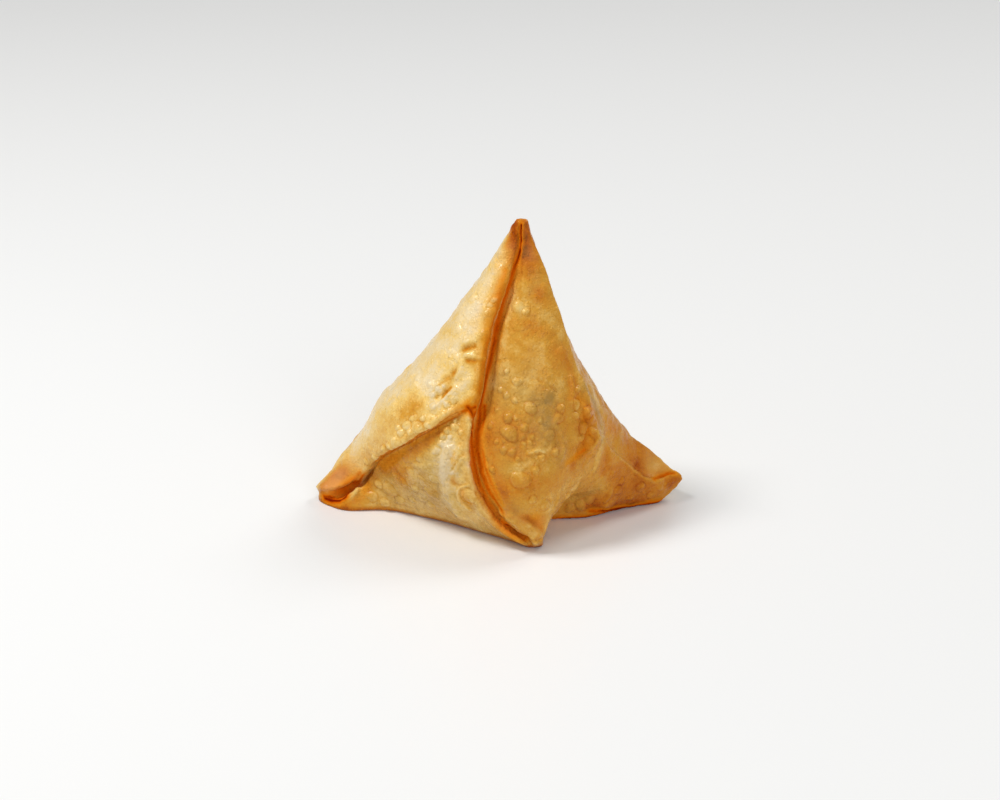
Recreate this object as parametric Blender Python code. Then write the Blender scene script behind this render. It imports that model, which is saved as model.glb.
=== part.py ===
"""Baked samosa, one solid of pastry that stands on its base with a flap folded over its left side.

The crust is a skin over four panels: left, front, right and back. Four lines part them, from the
peak to the ground: the left ridge, the fold where the left panel laps over the front one, the seam
down the front panel's right, and the right ridge. A place on the skin is (turn, fall): turn goes
once round, a whole number at each line, and fall runs from 0 at the peak to 1 at the ground.
The left panel is two layers: a flap on top, whose lower edge runs from its corner on the fold to
the left foot, and the cheek below it. The layers' edges are rounded lips with a crevice behind.

Metres, +Z up, -Y to the front, origin under the middle on the ground.
"""

import bmesh
import bpy
import numpy as np
from mathutils import Vector, noise

MM = 0.001

# The four lines from the peak to the ground, in millimetres.
LEFT_RIDGE = (
    (4.6, 4.6, 80.0),
    (-3.3, 5.0, 65.5),
    (-18.2, 5.0, 46.5),
    (-30.5, 5.0, 35.0),
    (-38.2, 4.5, 27.2),
    (-41.2, 4.0, 20.4),
    (-41.4, 2.5, 13.0),
    (-44.2, 1.2, 7.0),
    (-48.2, 0.3, 2.6),
    (-48.2, -0.8, 0.0),
)
FOLD = (
    (5.3, 3.2, 79.6),
    (3.7, 0.0, 70.2),
    (-2.9, -10.0, 52.1),
    (-5.4, -16.8, 37.2),
    (-7.4, -19.4, 32.6),
    (-8.3, -23.0, 24.5),
    (-5.2, -25.8, 12.5),
    (0.2, -26.8, 6.0),
    (7.0, -28.6, 2.0),
    (7.2, -27.4, 0.0),
)
SEAM = (
    (6.7, 3.2, 79.6),
    (10.4, 0.0, 71.9),
    (18.0, -8.0, 51.2),
    (22.4, -14.0, 36.0),
    (24.2, -17.0, 27.0),
    (20.6, -21.0, 20.5),
    (16.2, -24.4, 15.5),
    (13.6, -26.6, 8.4),
    (11.8, -27.8, 3.6),
    (11.6, -26.4, 0.0),
)
RIGHT_RIDGE = (
    (7.2, 4.6, 80.0),
    (12.0, 5.0, 62.0),
    (20.2, 4.0, 42.0),
    (25.6, 3.4, 35.6),
    (29.0, 3.0, 29.6),
    (33.4, 2.5, 22.6),
    (35.6, 2.0, 18.2),
    (41.2, 2.0, 13.8),
    (46.0, 1.8, 9.0),
    (50.0, 1.5, 6.0),
    (46.9, 0.2, 2.2),
    (43.0, -2.4, 0.0),
)
LINES = (LEFT_RIDGE, FOLD, SEAM, RIGHT_RIDGE)

# How far each panel's middle stands out of the straight line between its two lines, at these falls.
BULGE_FALLS = (0.0, 0.25, 0.5, 0.75, 0.9, 1.0)
LEFT_BULGE = (0.2, 2.0, 4.5, 4.5, 0.5, -3.5)
FRONT_BULGE = (0.2, 3.0, 7.0, 7.0, 3.0, 0.5)
RIGHT_BULGE = (0.1, 0.0, 0.5, 1.0, -2.0, -5.0)
BACK_BULGE = (0.4, 9.0, 16.0, 22.0, 25.5, 24.0)
BULGES = (LEFT_BULGE, FRONT_BULGE, RIGHT_BULGE, BACK_BULGE)

# Places pushed out or in: turn, fall, how far each way that reaches, and the push in millimetres.
LEFT_FOOT_LIP = (0.12, 1.0, 0.12, 0.05, 4.0)
FRONT_FOOT_NOTCH = (2.24, 0.97, 0.15, 0.10, -9.0)
SEAM_RIDGE = (2.02, 0.60, 0.07, 0.12, 1.3)
SEAM_BUMP_HIGH = (2.03, 0.50, 0.05, 0.035, 0.7)
SEAM_BUMP_LOW = (2.08, 0.655, 0.06, 0.04, 1.0)
BROW_DENT = (1.93, 0.66, 0.05, 0.05, -1.0)
RIGHT_FOOT_DENT = (2.86, 0.775, 0.07, 0.035, -0.9)
PUSHES = (
    LEFT_FOOT_LIP,
    FRONT_FOOT_NOTCH,
    SEAM_RIDGE,
    SEAM_BUMP_HIGH,
    SEAM_BUMP_LOW,
    BROW_DENT,
    RIGHT_FOOT_DENT,
)

# The skin is worked out on a fine grid first, and the solid's own points are read from it.
FINE_ROWS = 200
FINE_COLUMNS_A_PANEL = 60
ROUNDING_STEPS = 160

# The left and right ridges are rounded: each one's turn and the fall where that ends, the falls
# over which it grows and fades, and how many turns off the ridge it is whole and gone.
ROUNDED_RIDGES = ((0.0, 0.85), (3.0, 0.7))
ROUNDING_GROWS = (0.05, 0.3)
ROUNDING_FADE = 0.15
ROUNDING_TURNS = (0.1, 0.5)

# The flap's lower edge: its fall at these turns of the left panel, from the left ridge to the fold.
FLAP_EDGE_TURNS = (0.0, 0.06, 0.12, 0.22, 0.35, 0.59, 0.77, 0.92, 1.0)
FLAP_EDGE_FALLS = (0.972, 0.956, 0.912, 0.833, 0.771, 0.675, 0.597, 0.541, 0.525)

# Each layer's thickness: a share of it at the peak, whole from that fall down, growing over the
# back between these turns, and the cheek thinner again near the ground. Along the fold the lip on
# the left and the valley on the right change their width towards the front foot, at these falls.
FLAP_THICKNESS = 1.9
CHEEK_THICKNESS = 2.0
LAYERS_AT_PEAK = 0.25
LAYERS_WHOLE_FROM = 0.3
FLAP_GROWS_BEHIND = (3.35, 3.98)
CHEEK_THINS = (0.85, 0.97)
CHEEK_THINS_BY = 0.5
LIP_FALLS = (0.0, 0.5, 0.6, 0.75, 0.88, 1.0)
LIP_WIDTHS = (2.6, 2.6, 2.6, 3.0, 4.2, 4.2)
VALLEY_WIDTHS = (2.6, 2.8, 4.2, 4.0, 3.0, 2.6)

# The fold's section: across in lip widths, up in flap thicknesses, down in cheek thicknesses, and
# up in rim heights, which only the cheek has.
FOLD_SECTION = (
    (-1.0, 1.0, 0.0, 0.2),
    (-0.4, 1.08, 0.0, 1.0),
    (0.0, 0.8, 0.1, 0.9),
    (-0.02, 0.3, 0.6, 0.2),
    (-0.4, 0.0, 1.15, 0.0),
    (0.25, 0.0, 1.3, 0.0),
    (1.0, 0.0, 0.7, 0.0),
)
RIM_HEIGHT = 0.9
FRONT_SINK = (0.45, 0.2, 0.05)

# The flap edge's section: down the panel in reaches, up in flap thicknesses, in by crevice depths,
# and its shares of the left foot's opening: how far down it is and how far in.
EDGE_SECTION = (
    (-1.0, 1.0, 0.0, 0.0, 0.0),
    (-0.4, 1.08, 0.0, 0.0, 0.0),
    (0.0, 0.75, 0.0, 0.0, 0.0),
    (-0.05, 0.25, 0.3, 0.05, 0.15),
    (-0.4, 0.0, 1.0, 0.25, 1.0),
    (0.1, 0.0, 1.0, 0.7, 0.9),
    (0.35, 0.0, 0.2, 1.0, -0.2),
    (1.0, 0.0, 0.0, 1.0, 0.0),
)
EDGE_CREVICE = 1.0
EDGE_BEGINS = (0.0, 0.12)
EDGE_ENDS = (0.84, 0.97)
LIP_REACH = 0.026
OPEN_REACH = 0.06
FOOT_REACH = 0.008
REACH_TURNS = ((0.0, 0.2), (1.0, 1.6), (3.2, 4.0))
MOST_LIP_SHARE = 0.28

# The left foot's opening, between the flap and the cheek.
OPENING_DROP = 0.048
OPENING_DEPTH = 3.0
OPENING_TURNS = (0.0, 0.06, 0.14, 0.25)
OPENING_DEEPENS = (0.02, 0.12)
FOOT_COLUMNS_POWER = 1.35

# Soft steps that run across a panel. Each has the turns and the falls that it runs through, and its
# section: how far down from that line, as a fall, and how far out there in millimetres.
RIGHT_FOOT_FOLD = (
    (2.25, 2.49, 2.59, 2.67, 2.74, 2.80, 2.86, 2.91, 3.0),
    (0.64, 0.702, 0.740, 0.785, 0.823, 0.868, 0.885, 0.878, 0.872),
    (-0.10, -0.03, -0.006, 0.008, 0.04, 0.15),
    (0.0, -1.1, -1.5, 0.8, 0.7, 0.0),
)
FRONT_FOOT_LIP = (
    (0.99, 1.05, 1.42, 1.64, 1.8),
    (0.893, 0.915, 0.925, 0.937, 0.94),
    (-0.07, -0.02, -0.004, 0.006, 0.018, 0.035, 0.07),
    (0.0, 0.9, 0.8, -1.2, -1.2, 0.6, 0.0),
)
STEPS = (RIGHT_FOOT_FOLD, FRONT_FOOT_LIP)
STEP_FADE = 0.12

# The whole crust is a little uneven: how far, over what distance, and between these heights less
# and less towards the peak, where this share of it is left.
UNEVEN = 0.45
UNEVEN_REACH = 11.0
UNEVEN_HEIGHTS = (80.0, 60.0)
UNEVEN_AT_PEAK = 0.2

PEAK_ROUNDING = 0.2

# How many rows and columns of points the solid has.
FLAP_ROWS = 28
CHEEK_ROWS = 25
PANEL_COLUMNS = (21, 19, 19, 20)

# The layers lose their thickness from this fall to the ground.
GROUNDING_BEGINS = 0.955

# Each row is at least this much above the next, so that none folds under the base.
ROW_CLEARANCE = 0.035

CRUST = (0.82, 0.52, 0.20, 1.0)
CRUST_ROUGHNESS = 0.45


def through(knots, values, shares):
    """The smooth curve through values, which stand at knots, read at shares."""
    knots = np.asarray(knots, float)
    values = np.asarray(values, float)
    shares = np.asarray(shares, float)
    slopes = np.gradient(values, knots, axis=0)
    first = np.clip(np.searchsorted(knots, shares, side="right") - 1, 0, len(knots) - 2)
    span = knots[first + 1] - knots[first]
    t = (shares - knots[first]) / span
    if values.ndim == 2:
        span = span[..., None]
        t = t[..., None]
    return (
        values[first] * (1 + 2 * t) * (1 - t) ** 2
        + slopes[first] * span * t * (1 - t) ** 2
        + values[first + 1] * t * t * (3 - 2 * t)
        - slopes[first + 1] * span * t * t * (1 - t)
    )


def along(line, falls):
    """Points of a line at these falls, which are shares of its length."""
    points = np.array(line, float)
    lengths = np.linalg.norm(np.diff(points, axis=0), axis=1)
    knots = np.concatenate([[0.0], np.cumsum(lengths)])
    return through(knots / knots[-1], points, falls)


def eased(low, high, values):
    """0 below low, 1 above high, and a smooth rise between."""
    t = np.clip((np.asarray(values, float) - low) / (high - low), 0.0, 1.0)
    return t * t * (3 - 2 * t)


def plain_skin():
    """The four panels on the fine grid, with the ridges rounded over."""
    falls = np.linspace(0.0, 1.0, FINE_ROWS + 1)
    shares = np.arange(FINE_COLUMNS_A_PANEL) / FINE_COLUMNS_A_PANEL
    panels = []
    for side, line in enumerate(LINES):
        start = along(line, falls)
        end = along(LINES[(side + 1) % len(LINES)], falls)
        chord = end - start
        outward = np.stack([chord[:, 1], -chord[:, 0], np.zeros(len(falls))], axis=1)
        outward /= np.linalg.norm(outward, axis=1)[:, None]
        bulge = through(BULGE_FALLS, BULGES[side], falls)
        flat = start[:, None] + chord[:, None] * shares[None, :, None]
        arch = 4 * shares * (1 - shares)
        panels.append(flat + (outward * bulge[:, None])[:, None] * arch[None, :, None])
    skin = np.concatenate(panels, axis=1)
    return rounded(skin, falls)


def rounded(skin, falls):
    """The skin with its left and right ridges rounded, more at mid height than at the feet."""
    turns = np.arange(skin.shape[1]) / FINE_COLUMNS_A_PANEL
    soft = np.zeros(skin.shape[:2])
    for ridge, ends in ROUNDED_RIDGES:
        high = eased(*ROUNDING_GROWS, falls) * (1 - eased(ends - ROUNDING_FADE, ends, falls))
        away = np.abs((turns - ridge + 2.0) % 4.0 - 2.0)
        soft += high[:, None] * (1 - eased(*ROUNDING_TURNS, away))[None, :]
    for _ in range(ROUNDING_STEPS):
        middle = (np.roll(skin, 1, axis=1) + np.roll(skin, -1, axis=1)) / 2
        skin = skin + (middle - skin) * soft[:, :, None]
    return skin


def outward_of(skin):
    """The skin's outward direction at each point of the fine grid."""
    round_it = np.roll(skin, -1, axis=1) - np.roll(skin, 1, axis=1)
    down_it = np.gradient(skin, axis=0)
    outward = np.cross(down_it, round_it)
    return outward / np.linalg.norm(outward, axis=2)[:, :, None]


def read_off(grid, turns, falls):
    """The grid's values at these turns and falls."""
    column = (np.asarray(turns) % 4.0) * FINE_COLUMNS_A_PANEL
    row = np.clip(np.asarray(falls), 0.0, 1.0) * FINE_ROWS
    left = np.floor(column).astype(int)
    upper = np.clip(np.floor(row).astype(int), 0, FINE_ROWS - 1)
    across = (column - left)[..., None]
    below = (row - upper)[..., None]
    left = left % grid.shape[1]
    right = (left + 1) % grid.shape[1]
    top = grid[upper, left] * (1 - across) + grid[upper, right] * across
    bottom = grid[upper + 1, left] * (1 - across) + grid[upper + 1, right] * across
    return top * (1 - below) + bottom * below


def lip_share(widths, falls, panel):
    """The share of a panel of this width that a lip takes."""
    return np.minimum(through(LIP_FALLS, widths, falls) / panel, MOST_LIP_SHARE)


def panel_width(left_line, right_line, falls):
    return np.linalg.norm(along(left_line, falls) - along(right_line, falls), axis=-1)


def edge_fall(turns):
    """Where the flap's lower edge is. Off the left panel it is only where the rows change."""
    on_left = through(FLAP_EDGE_TURNS, FLAP_EDGE_FALLS, np.clip(turns, 0.0, 1.0))
    foot, corner = FLAP_EDGE_FALLS[0], FLAP_EDGE_FALLS[-1]
    behind = corner + (foot - corner) * eased(3.0, 4.0, turns)
    return np.where(turns <= 1.0, on_left, behind)


def edge_reach(turns):
    """Half the height, as a fall, of the rows that make the flap's edge."""
    grows, opens, closes = REACH_TURNS
    near_foot = FOOT_REACH + (LIP_REACH - FOOT_REACH) * eased(*grows, turns)
    spread = LIP_REACH + (OPEN_REACH - LIP_REACH) * eased(*opens, turns)
    behind = OPEN_REACH + (FOOT_REACH - OPEN_REACH) * eased(*closes, turns)
    return np.where(turns <= 1.0, near_foot, np.where(turns <= closes[0], spread, behind))


def opening(turns):
    """1 in the middle of the left foot's opening and 0 outside it."""
    begins, opens, closes, ends = OPENING_TURNS
    return eased(begins, opens, turns) * (1 - eased(closes, ends, turns))


def column_turns(falls):
    """The turn of every column, a row of them for each fall at the fold."""
    left_lip = lip_share(LIP_WIDTHS, falls, panel_width(LEFT_RIDGE, FOLD, falls))
    front_lip = lip_share(VALLEY_WIDTHS, falls, panel_width(FOLD, SEAM, falls))
    tucked = np.array([place[0] for place in FOLD_SECTION])
    even = np.linspace(-1.0, 1.0, len(tucked))
    grounded = eased(GROUNDING_BEGINS, 1.0, falls)[:, None]
    across = tucked * (1 - grounded) + even * grounded
    fold = 1.0 + across * np.where(across < 0, left_lip[:, None], front_lip[:, None])
    left, front, right, back = PANEL_COLUMNS
    to_fold = fold[:, :1] * (np.arange(left) / left) ** FOOT_COLUMNS_POWER
    to_seam = fold[:, -1:] + (2.0 - fold[:, -1:]) * np.arange(1, front + 1) / front
    onward = np.ones((len(falls), 1))
    to_right = onward * (2.0 + np.arange(1, right + 1) / right)
    to_left = onward * (3.0 + np.arange(1, back) / back)
    return np.concatenate([to_fold, fold, to_seam, to_right, to_left], axis=1)


def fold_shares():
    """How much of the flap's rise, the cheek's sink and the cheek's rim each column takes."""
    left, front, right, back = PANEL_COLUMNS
    section = np.array(FOLD_SECTION)
    rise = np.concatenate([np.ones(left), section[:, 1], np.zeros(front + right), np.ones(back - 1)])
    sink = np.zeros(len(rise))
    rim = np.zeros(len(rise))
    fold_end = left + len(section)
    sink[left:fold_end] = section[:, 2]
    rim[left:fold_end] = section[:, 3]
    sink[fold_end : fold_end + len(FRONT_SINK)] = FRONT_SINK
    return rise, sink, rim


def skin_places():
    """Every point of the skin, row by row: its turn and fall, the fall that its outward direction
    is read at, and how far out it stands in millimetres."""
    section = np.array(EDGE_SECTION)
    even = np.linspace(-1.0, 1.0, len(section))
    flap_rows = np.linspace(0.0, 1.0, FLAP_ROWS, endpoint=False)
    cheek_rows = np.linspace(0.0, 1.0, CHEEK_ROWS + 1)[1:]
    corner = FLAP_EDGE_FALLS[-1]
    ends = corner - LIP_REACH, corner + LIP_REACH
    at_fold = np.concatenate(
        [flap_rows * ends[0], corner + even * LIP_REACH, ends[1] + cheek_rows * (1 - ends[1])]
    )
    turns = column_turns(at_fold)
    edge = edge_fall(turns)
    reach = edge_reach(turns)
    drop = OPENING_DROP * opening(turns)
    folded = eased(*EDGE_BEGINS, turns) * (1 - eased(*EDGE_ENDS, turns))

    flap, lip, cheek = np.split(np.arange(len(at_fold)), [FLAP_ROWS, FLAP_ROWS + len(section)])
    falls = np.zeros(turns.shape)
    looks = np.zeros(turns.shape)
    rise = np.zeros(turns.shape)
    sink = np.zeros(turns.shape)
    falls[flap] = flap_rows[:, None] * (edge - reach)[flap]
    across = even[:, None] * (1 - folded[lip]) + section[:, :1] * folded[lip]
    falls[lip] = edge[lip] + across * reach[lip] + section[:, 3:4] * drop[lip]
    starts = edge + reach + drop
    falls[cheek] = starts[cheek] + cheek_rows[:, None] * (1 - starts[cheek])
    looks[:] = falls
    looks[lip] = edge[lip] + section[:, 3:4] * drop[lip]

    plain_step = 1 - eased(-1.0, 1.0, even)
    rise[flap] = 1.0
    rise[lip] = plain_step[:, None] * (1 - folded[lip]) + section[:, 1:2] * folded[lip]
    sink[lip] = section[:, 2:3] * EDGE_CREVICE * folded[lip]
    depth = OPENING_DEPTH * eased(*OPENING_DEEPENS, turns[lip]) * opening(turns[lip])
    sink[lip] += section[:, 4:5] * depth

    flap_thickness, cheek_thickness = layers(turns, falls)
    fold_rise, fold_sink, fold_rim = fold_shares()
    out = flap_thickness * rise * fold_rise - sink - cheek_thickness * fold_sink
    out += RIM_HEIGHT * fold_rim * (1 - rise) + stepped(turns, falls)
    out *= 1 - eased(GROUNDING_BEGINS, 1.0, falls)
    out += pushed(turns, falls)
    return turns, falls, looks, out


def layers(turns, falls):
    """The flap's and the cheek's thickness: thin at the peak, and fading out over the back."""
    from_peak = LAYERS_AT_PEAK + (1 - LAYERS_AT_PEAK) * eased(0.0, LAYERS_WHOLE_FROM, falls)
    fading = np.where(turns > 2.0, eased(*FLAP_GROWS_BEHIND, turns), 1.0)
    to_foot = 1 - CHEEK_THINS_BY * eased(*CHEEK_THINS, falls)
    return FLAP_THICKNESS * from_peak * fading, CHEEK_THICKNESS * from_peak * to_foot


def pushed(turns, falls):
    out = np.zeros(turns.shape)
    for turn, fall, turn_reach, fall_reach, height in PUSHES:
        away = (turns - turn + 2.0) % 4.0 - 2.0
        out += height * np.exp(-((away / turn_reach) ** 2) - ((falls - fall) / fall_reach) ** 2)
    return out


def stepped(turns, falls):
    out = np.zeros(turns.shape)
    for step_turns, step_falls, down, heights in STEPS:
        below = falls - np.interp(turns, step_turns, step_falls)
        begins = eased(step_turns[0], step_turns[0] + STEP_FADE, turns)
        ends = 1 - eased(step_turns[-1] - STEP_FADE, step_turns[-1], turns)
        out += np.interp(below, down, heights) * begins * ends
    return out


def uneven(points):
    """Low waves over the whole crust, none at the peak."""
    waves = [noise.noise(Vector(point) / UNEVEN_REACH) for point in points.reshape(-1, 3)]
    from_peak = UNEVEN_AT_PEAK + (1 - UNEVEN_AT_PEAK) * eased(*UNEVEN_HEIGHTS, points[:, :, 2])
    return UNEVEN * np.reshape(waves, points.shape[:2]) * from_peak


def skin_points():
    skin = plain_skin()
    outward = outward_of(skin)
    turns, falls, looks, out = skin_places()
    direction = read_off(outward, turns, looks)
    direction /= np.linalg.norm(direction, axis=2)[:, :, None]
    points = read_off(skin, turns, falls)
    out += uneven(points)
    points += direction * out[:, :, None]
    least = ROW_CLEARANCE * np.arange(len(points) - 1, -1, -1)
    points[:, :, 2] = np.maximum(points[:, :, 2], least[:, None])
    points[-1, :, 2] = 0.0
    box = np.array([points.min(axis=(0, 1)), points.max(axis=(0, 1))])
    return points - box.mean(axis=0) * (1, 1, 0)


def add_ring(mesh, ring):
    return [mesh.verts.new(Vector(point) * MM) for point in ring]


def join_rings(mesh, upper, lower):
    """Faces between two rings, both anticlockwise from above."""
    count = len(upper)
    for i in range(count):
        j = (i + 1) % count
        mesh.faces.new((upper[i], lower[i], lower[j], upper[j]))


def close_peak(mesh, ring, tip):
    """A fan of faces from the top ring to one point."""
    centre = mesh.verts.new(Vector(tip) * MM)
    count = len(ring)
    for i in range(count):
        mesh.faces.new((ring[(i + 1) % count], centre, ring[i]))


def close_base(mesh, ring):
    base = mesh.faces.new(ring[::-1])
    bmesh.ops.triangulate(mesh, faces=[base])


def samosa_mesh():
    points = skin_points()
    mesh = bmesh.new()
    rings = [add_ring(mesh, ring) for ring in points]
    for upper, lower in zip(rings, rings[1:]):
        join_rings(mesh, upper, lower)
    close_peak(mesh, rings[0], points[0].mean(axis=0) + (0.0, 0.0, PEAK_ROUNDING))
    close_base(mesh, rings[-1])
    made = bpy.data.meshes.new("samosa")
    mesh.to_mesh(made)
    mesh.free()
    return made


def crust_material():
    material = bpy.data.materials.new("crust")
    material.use_nodes = True
    shader = material.node_tree.nodes["Principled BSDF"]
    shader.inputs["Base Color"].default_value = CRUST
    shader.inputs["Roughness"].default_value = CRUST_ROUGHNESS
    shader.inputs["Metallic"].default_value = 0.0
    return material


def main():
    for old in list(bpy.data.objects):
        bpy.data.objects.remove(old)
    samosa = bpy.data.objects.new("samosa", samosa_mesh())
    bpy.context.scene.collection.objects.link(samosa)
    samosa.data.materials.append(crust_material())
    samosa.data.shade_smooth()


if __name__ == "__main__":
    main()
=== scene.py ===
"""Baked samosa: the blistered, browned crust of a whole samosa, standing on a plain pale floor.

The crust starts as the solid's own surface. It is made fine, given its blisters, creases and crisp
edges, and painted point by point with how baked, grey and rosy it is, how much oil lies in its
folds, and with painted light and shade on its relief, in its folds and along the floor, which the
crust's material turns into colour. Lines and clusters are placed in millimetres. Marks are placed
as they are seen from the front, and are cast from the camera onto the crust.
"""

from collections import namedtuple

import bpy
import numpy as np
from bpy.props import FloatProperty, FloatVectorProperty, IntProperty, PointerProperty
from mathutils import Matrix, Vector, kdtree, noise
from mathutils.bvhtree import BVHTree


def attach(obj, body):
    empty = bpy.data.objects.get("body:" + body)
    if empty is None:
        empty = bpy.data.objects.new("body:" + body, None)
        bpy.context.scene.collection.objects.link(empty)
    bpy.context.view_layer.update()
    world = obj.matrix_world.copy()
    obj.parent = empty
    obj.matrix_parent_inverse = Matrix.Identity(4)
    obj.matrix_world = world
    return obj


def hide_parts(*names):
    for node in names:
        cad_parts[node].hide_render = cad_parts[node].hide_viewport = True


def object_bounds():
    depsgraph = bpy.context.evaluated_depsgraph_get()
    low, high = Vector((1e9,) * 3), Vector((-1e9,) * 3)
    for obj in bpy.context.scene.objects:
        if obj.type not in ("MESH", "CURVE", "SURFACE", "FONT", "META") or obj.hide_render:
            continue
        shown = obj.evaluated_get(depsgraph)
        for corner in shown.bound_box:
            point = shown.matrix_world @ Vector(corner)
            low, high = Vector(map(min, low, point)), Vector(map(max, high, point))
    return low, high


bl_info = {
    "name": "Baked samosa",
    "version": (1, 0, 0),
    "blender": (4, 5, 0),
    "location": "3D View > Sidebar > Samosa",
    "description": "Makes the blistered crust of a baked samosa and its stage",
    "category": "Object",
}

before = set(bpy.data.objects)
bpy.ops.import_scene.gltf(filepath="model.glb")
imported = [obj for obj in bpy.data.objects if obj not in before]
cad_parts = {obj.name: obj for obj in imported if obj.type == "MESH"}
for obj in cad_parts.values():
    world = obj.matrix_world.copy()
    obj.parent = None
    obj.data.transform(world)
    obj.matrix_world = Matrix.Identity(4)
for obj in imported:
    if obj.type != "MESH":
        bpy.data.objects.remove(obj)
SOLID_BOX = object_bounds()
MM = 0.001
TO_MM = 1000

# The lines between the panels, from the ground up: x, y and z in millimetres.
LEFT_RIDGE = (
    (-48, 1.1, 0), (-48, 2.2, 2.6), (-44, 3.1, 7), (-41.2, 4.4, 13), (-41, 5.9, 20.4),
    (-38, 6.4, 27.2), (-30.3, 6.9, 35), (-18, 6.9, 46.5), (-3.1, 6.9, 65.5), (4.8, 6.5, 80),
)
FOLD = (
    (7.4, -25.5, 0), (7.2, -26.7, 2), (0.4, -24.9, 6), (-5, -23.9, 12.5), (-8.1, -21.1, 24.5),
    (-7.2, -17.5, 32.6), (-5.2, -14.9, 37.2), (-2.7, -8.1, 52.1), (3.9, 1.9, 70.2),
    (5.5, 5.1, 79.6),
)
SEAM = (
    (11.8, -24.5, 0), (12, -25.9, 3.6), (13.8, -24.7, 8.4), (16.4, -22.5, 15.5),
    (20.8, -19.1, 20.5), (24.4, -15.1, 27), (22.6, -12.1, 36), (18.2, -6.1, 51.2),
    (10.6, 1.9, 71.9), (6.9, 5.1, 79.6),
)
RIGHT_RIDGE = (
    (43.2, -0.5, 0), (47.1, 2.1, 2.2), (50.2, 3.4, 6), (46.2, 3.7, 9), (41.4, 3.9, 13.8),
    (35.8, 3.9, 18.2), (33.6, 4.4, 22.6), (29.2, 4.9, 29.6), (25.8, 5.3, 35.6), (20.4, 5.9, 42),
    (12.2, 6.9, 62), (7.4, 6.5, 80),
)
FLAP_EDGE = (
    (-46.9, -0.5, 2.4), (-42.8, 0.1, 4.3), (-40.1, -2, 7.3), (-37.9, -2.2, 9.8),
    (-36.1, -3.1, 11.7), (-33.6, -6.1, 15.1), (-30.8, -8.2, 17.9), (-27.8, -9.2, 20.1),
    (-24.8, -12.4, 23.5), (-21.6, -14.4, 26.4), (-18.7, -14.7, 28.5), (-16, -14.4, 30.7),
    (-12.9, -15.5, 33.4), (-9.8, -15.9, 35.6), (-6.2, -16.3, 36.7),
)
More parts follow.
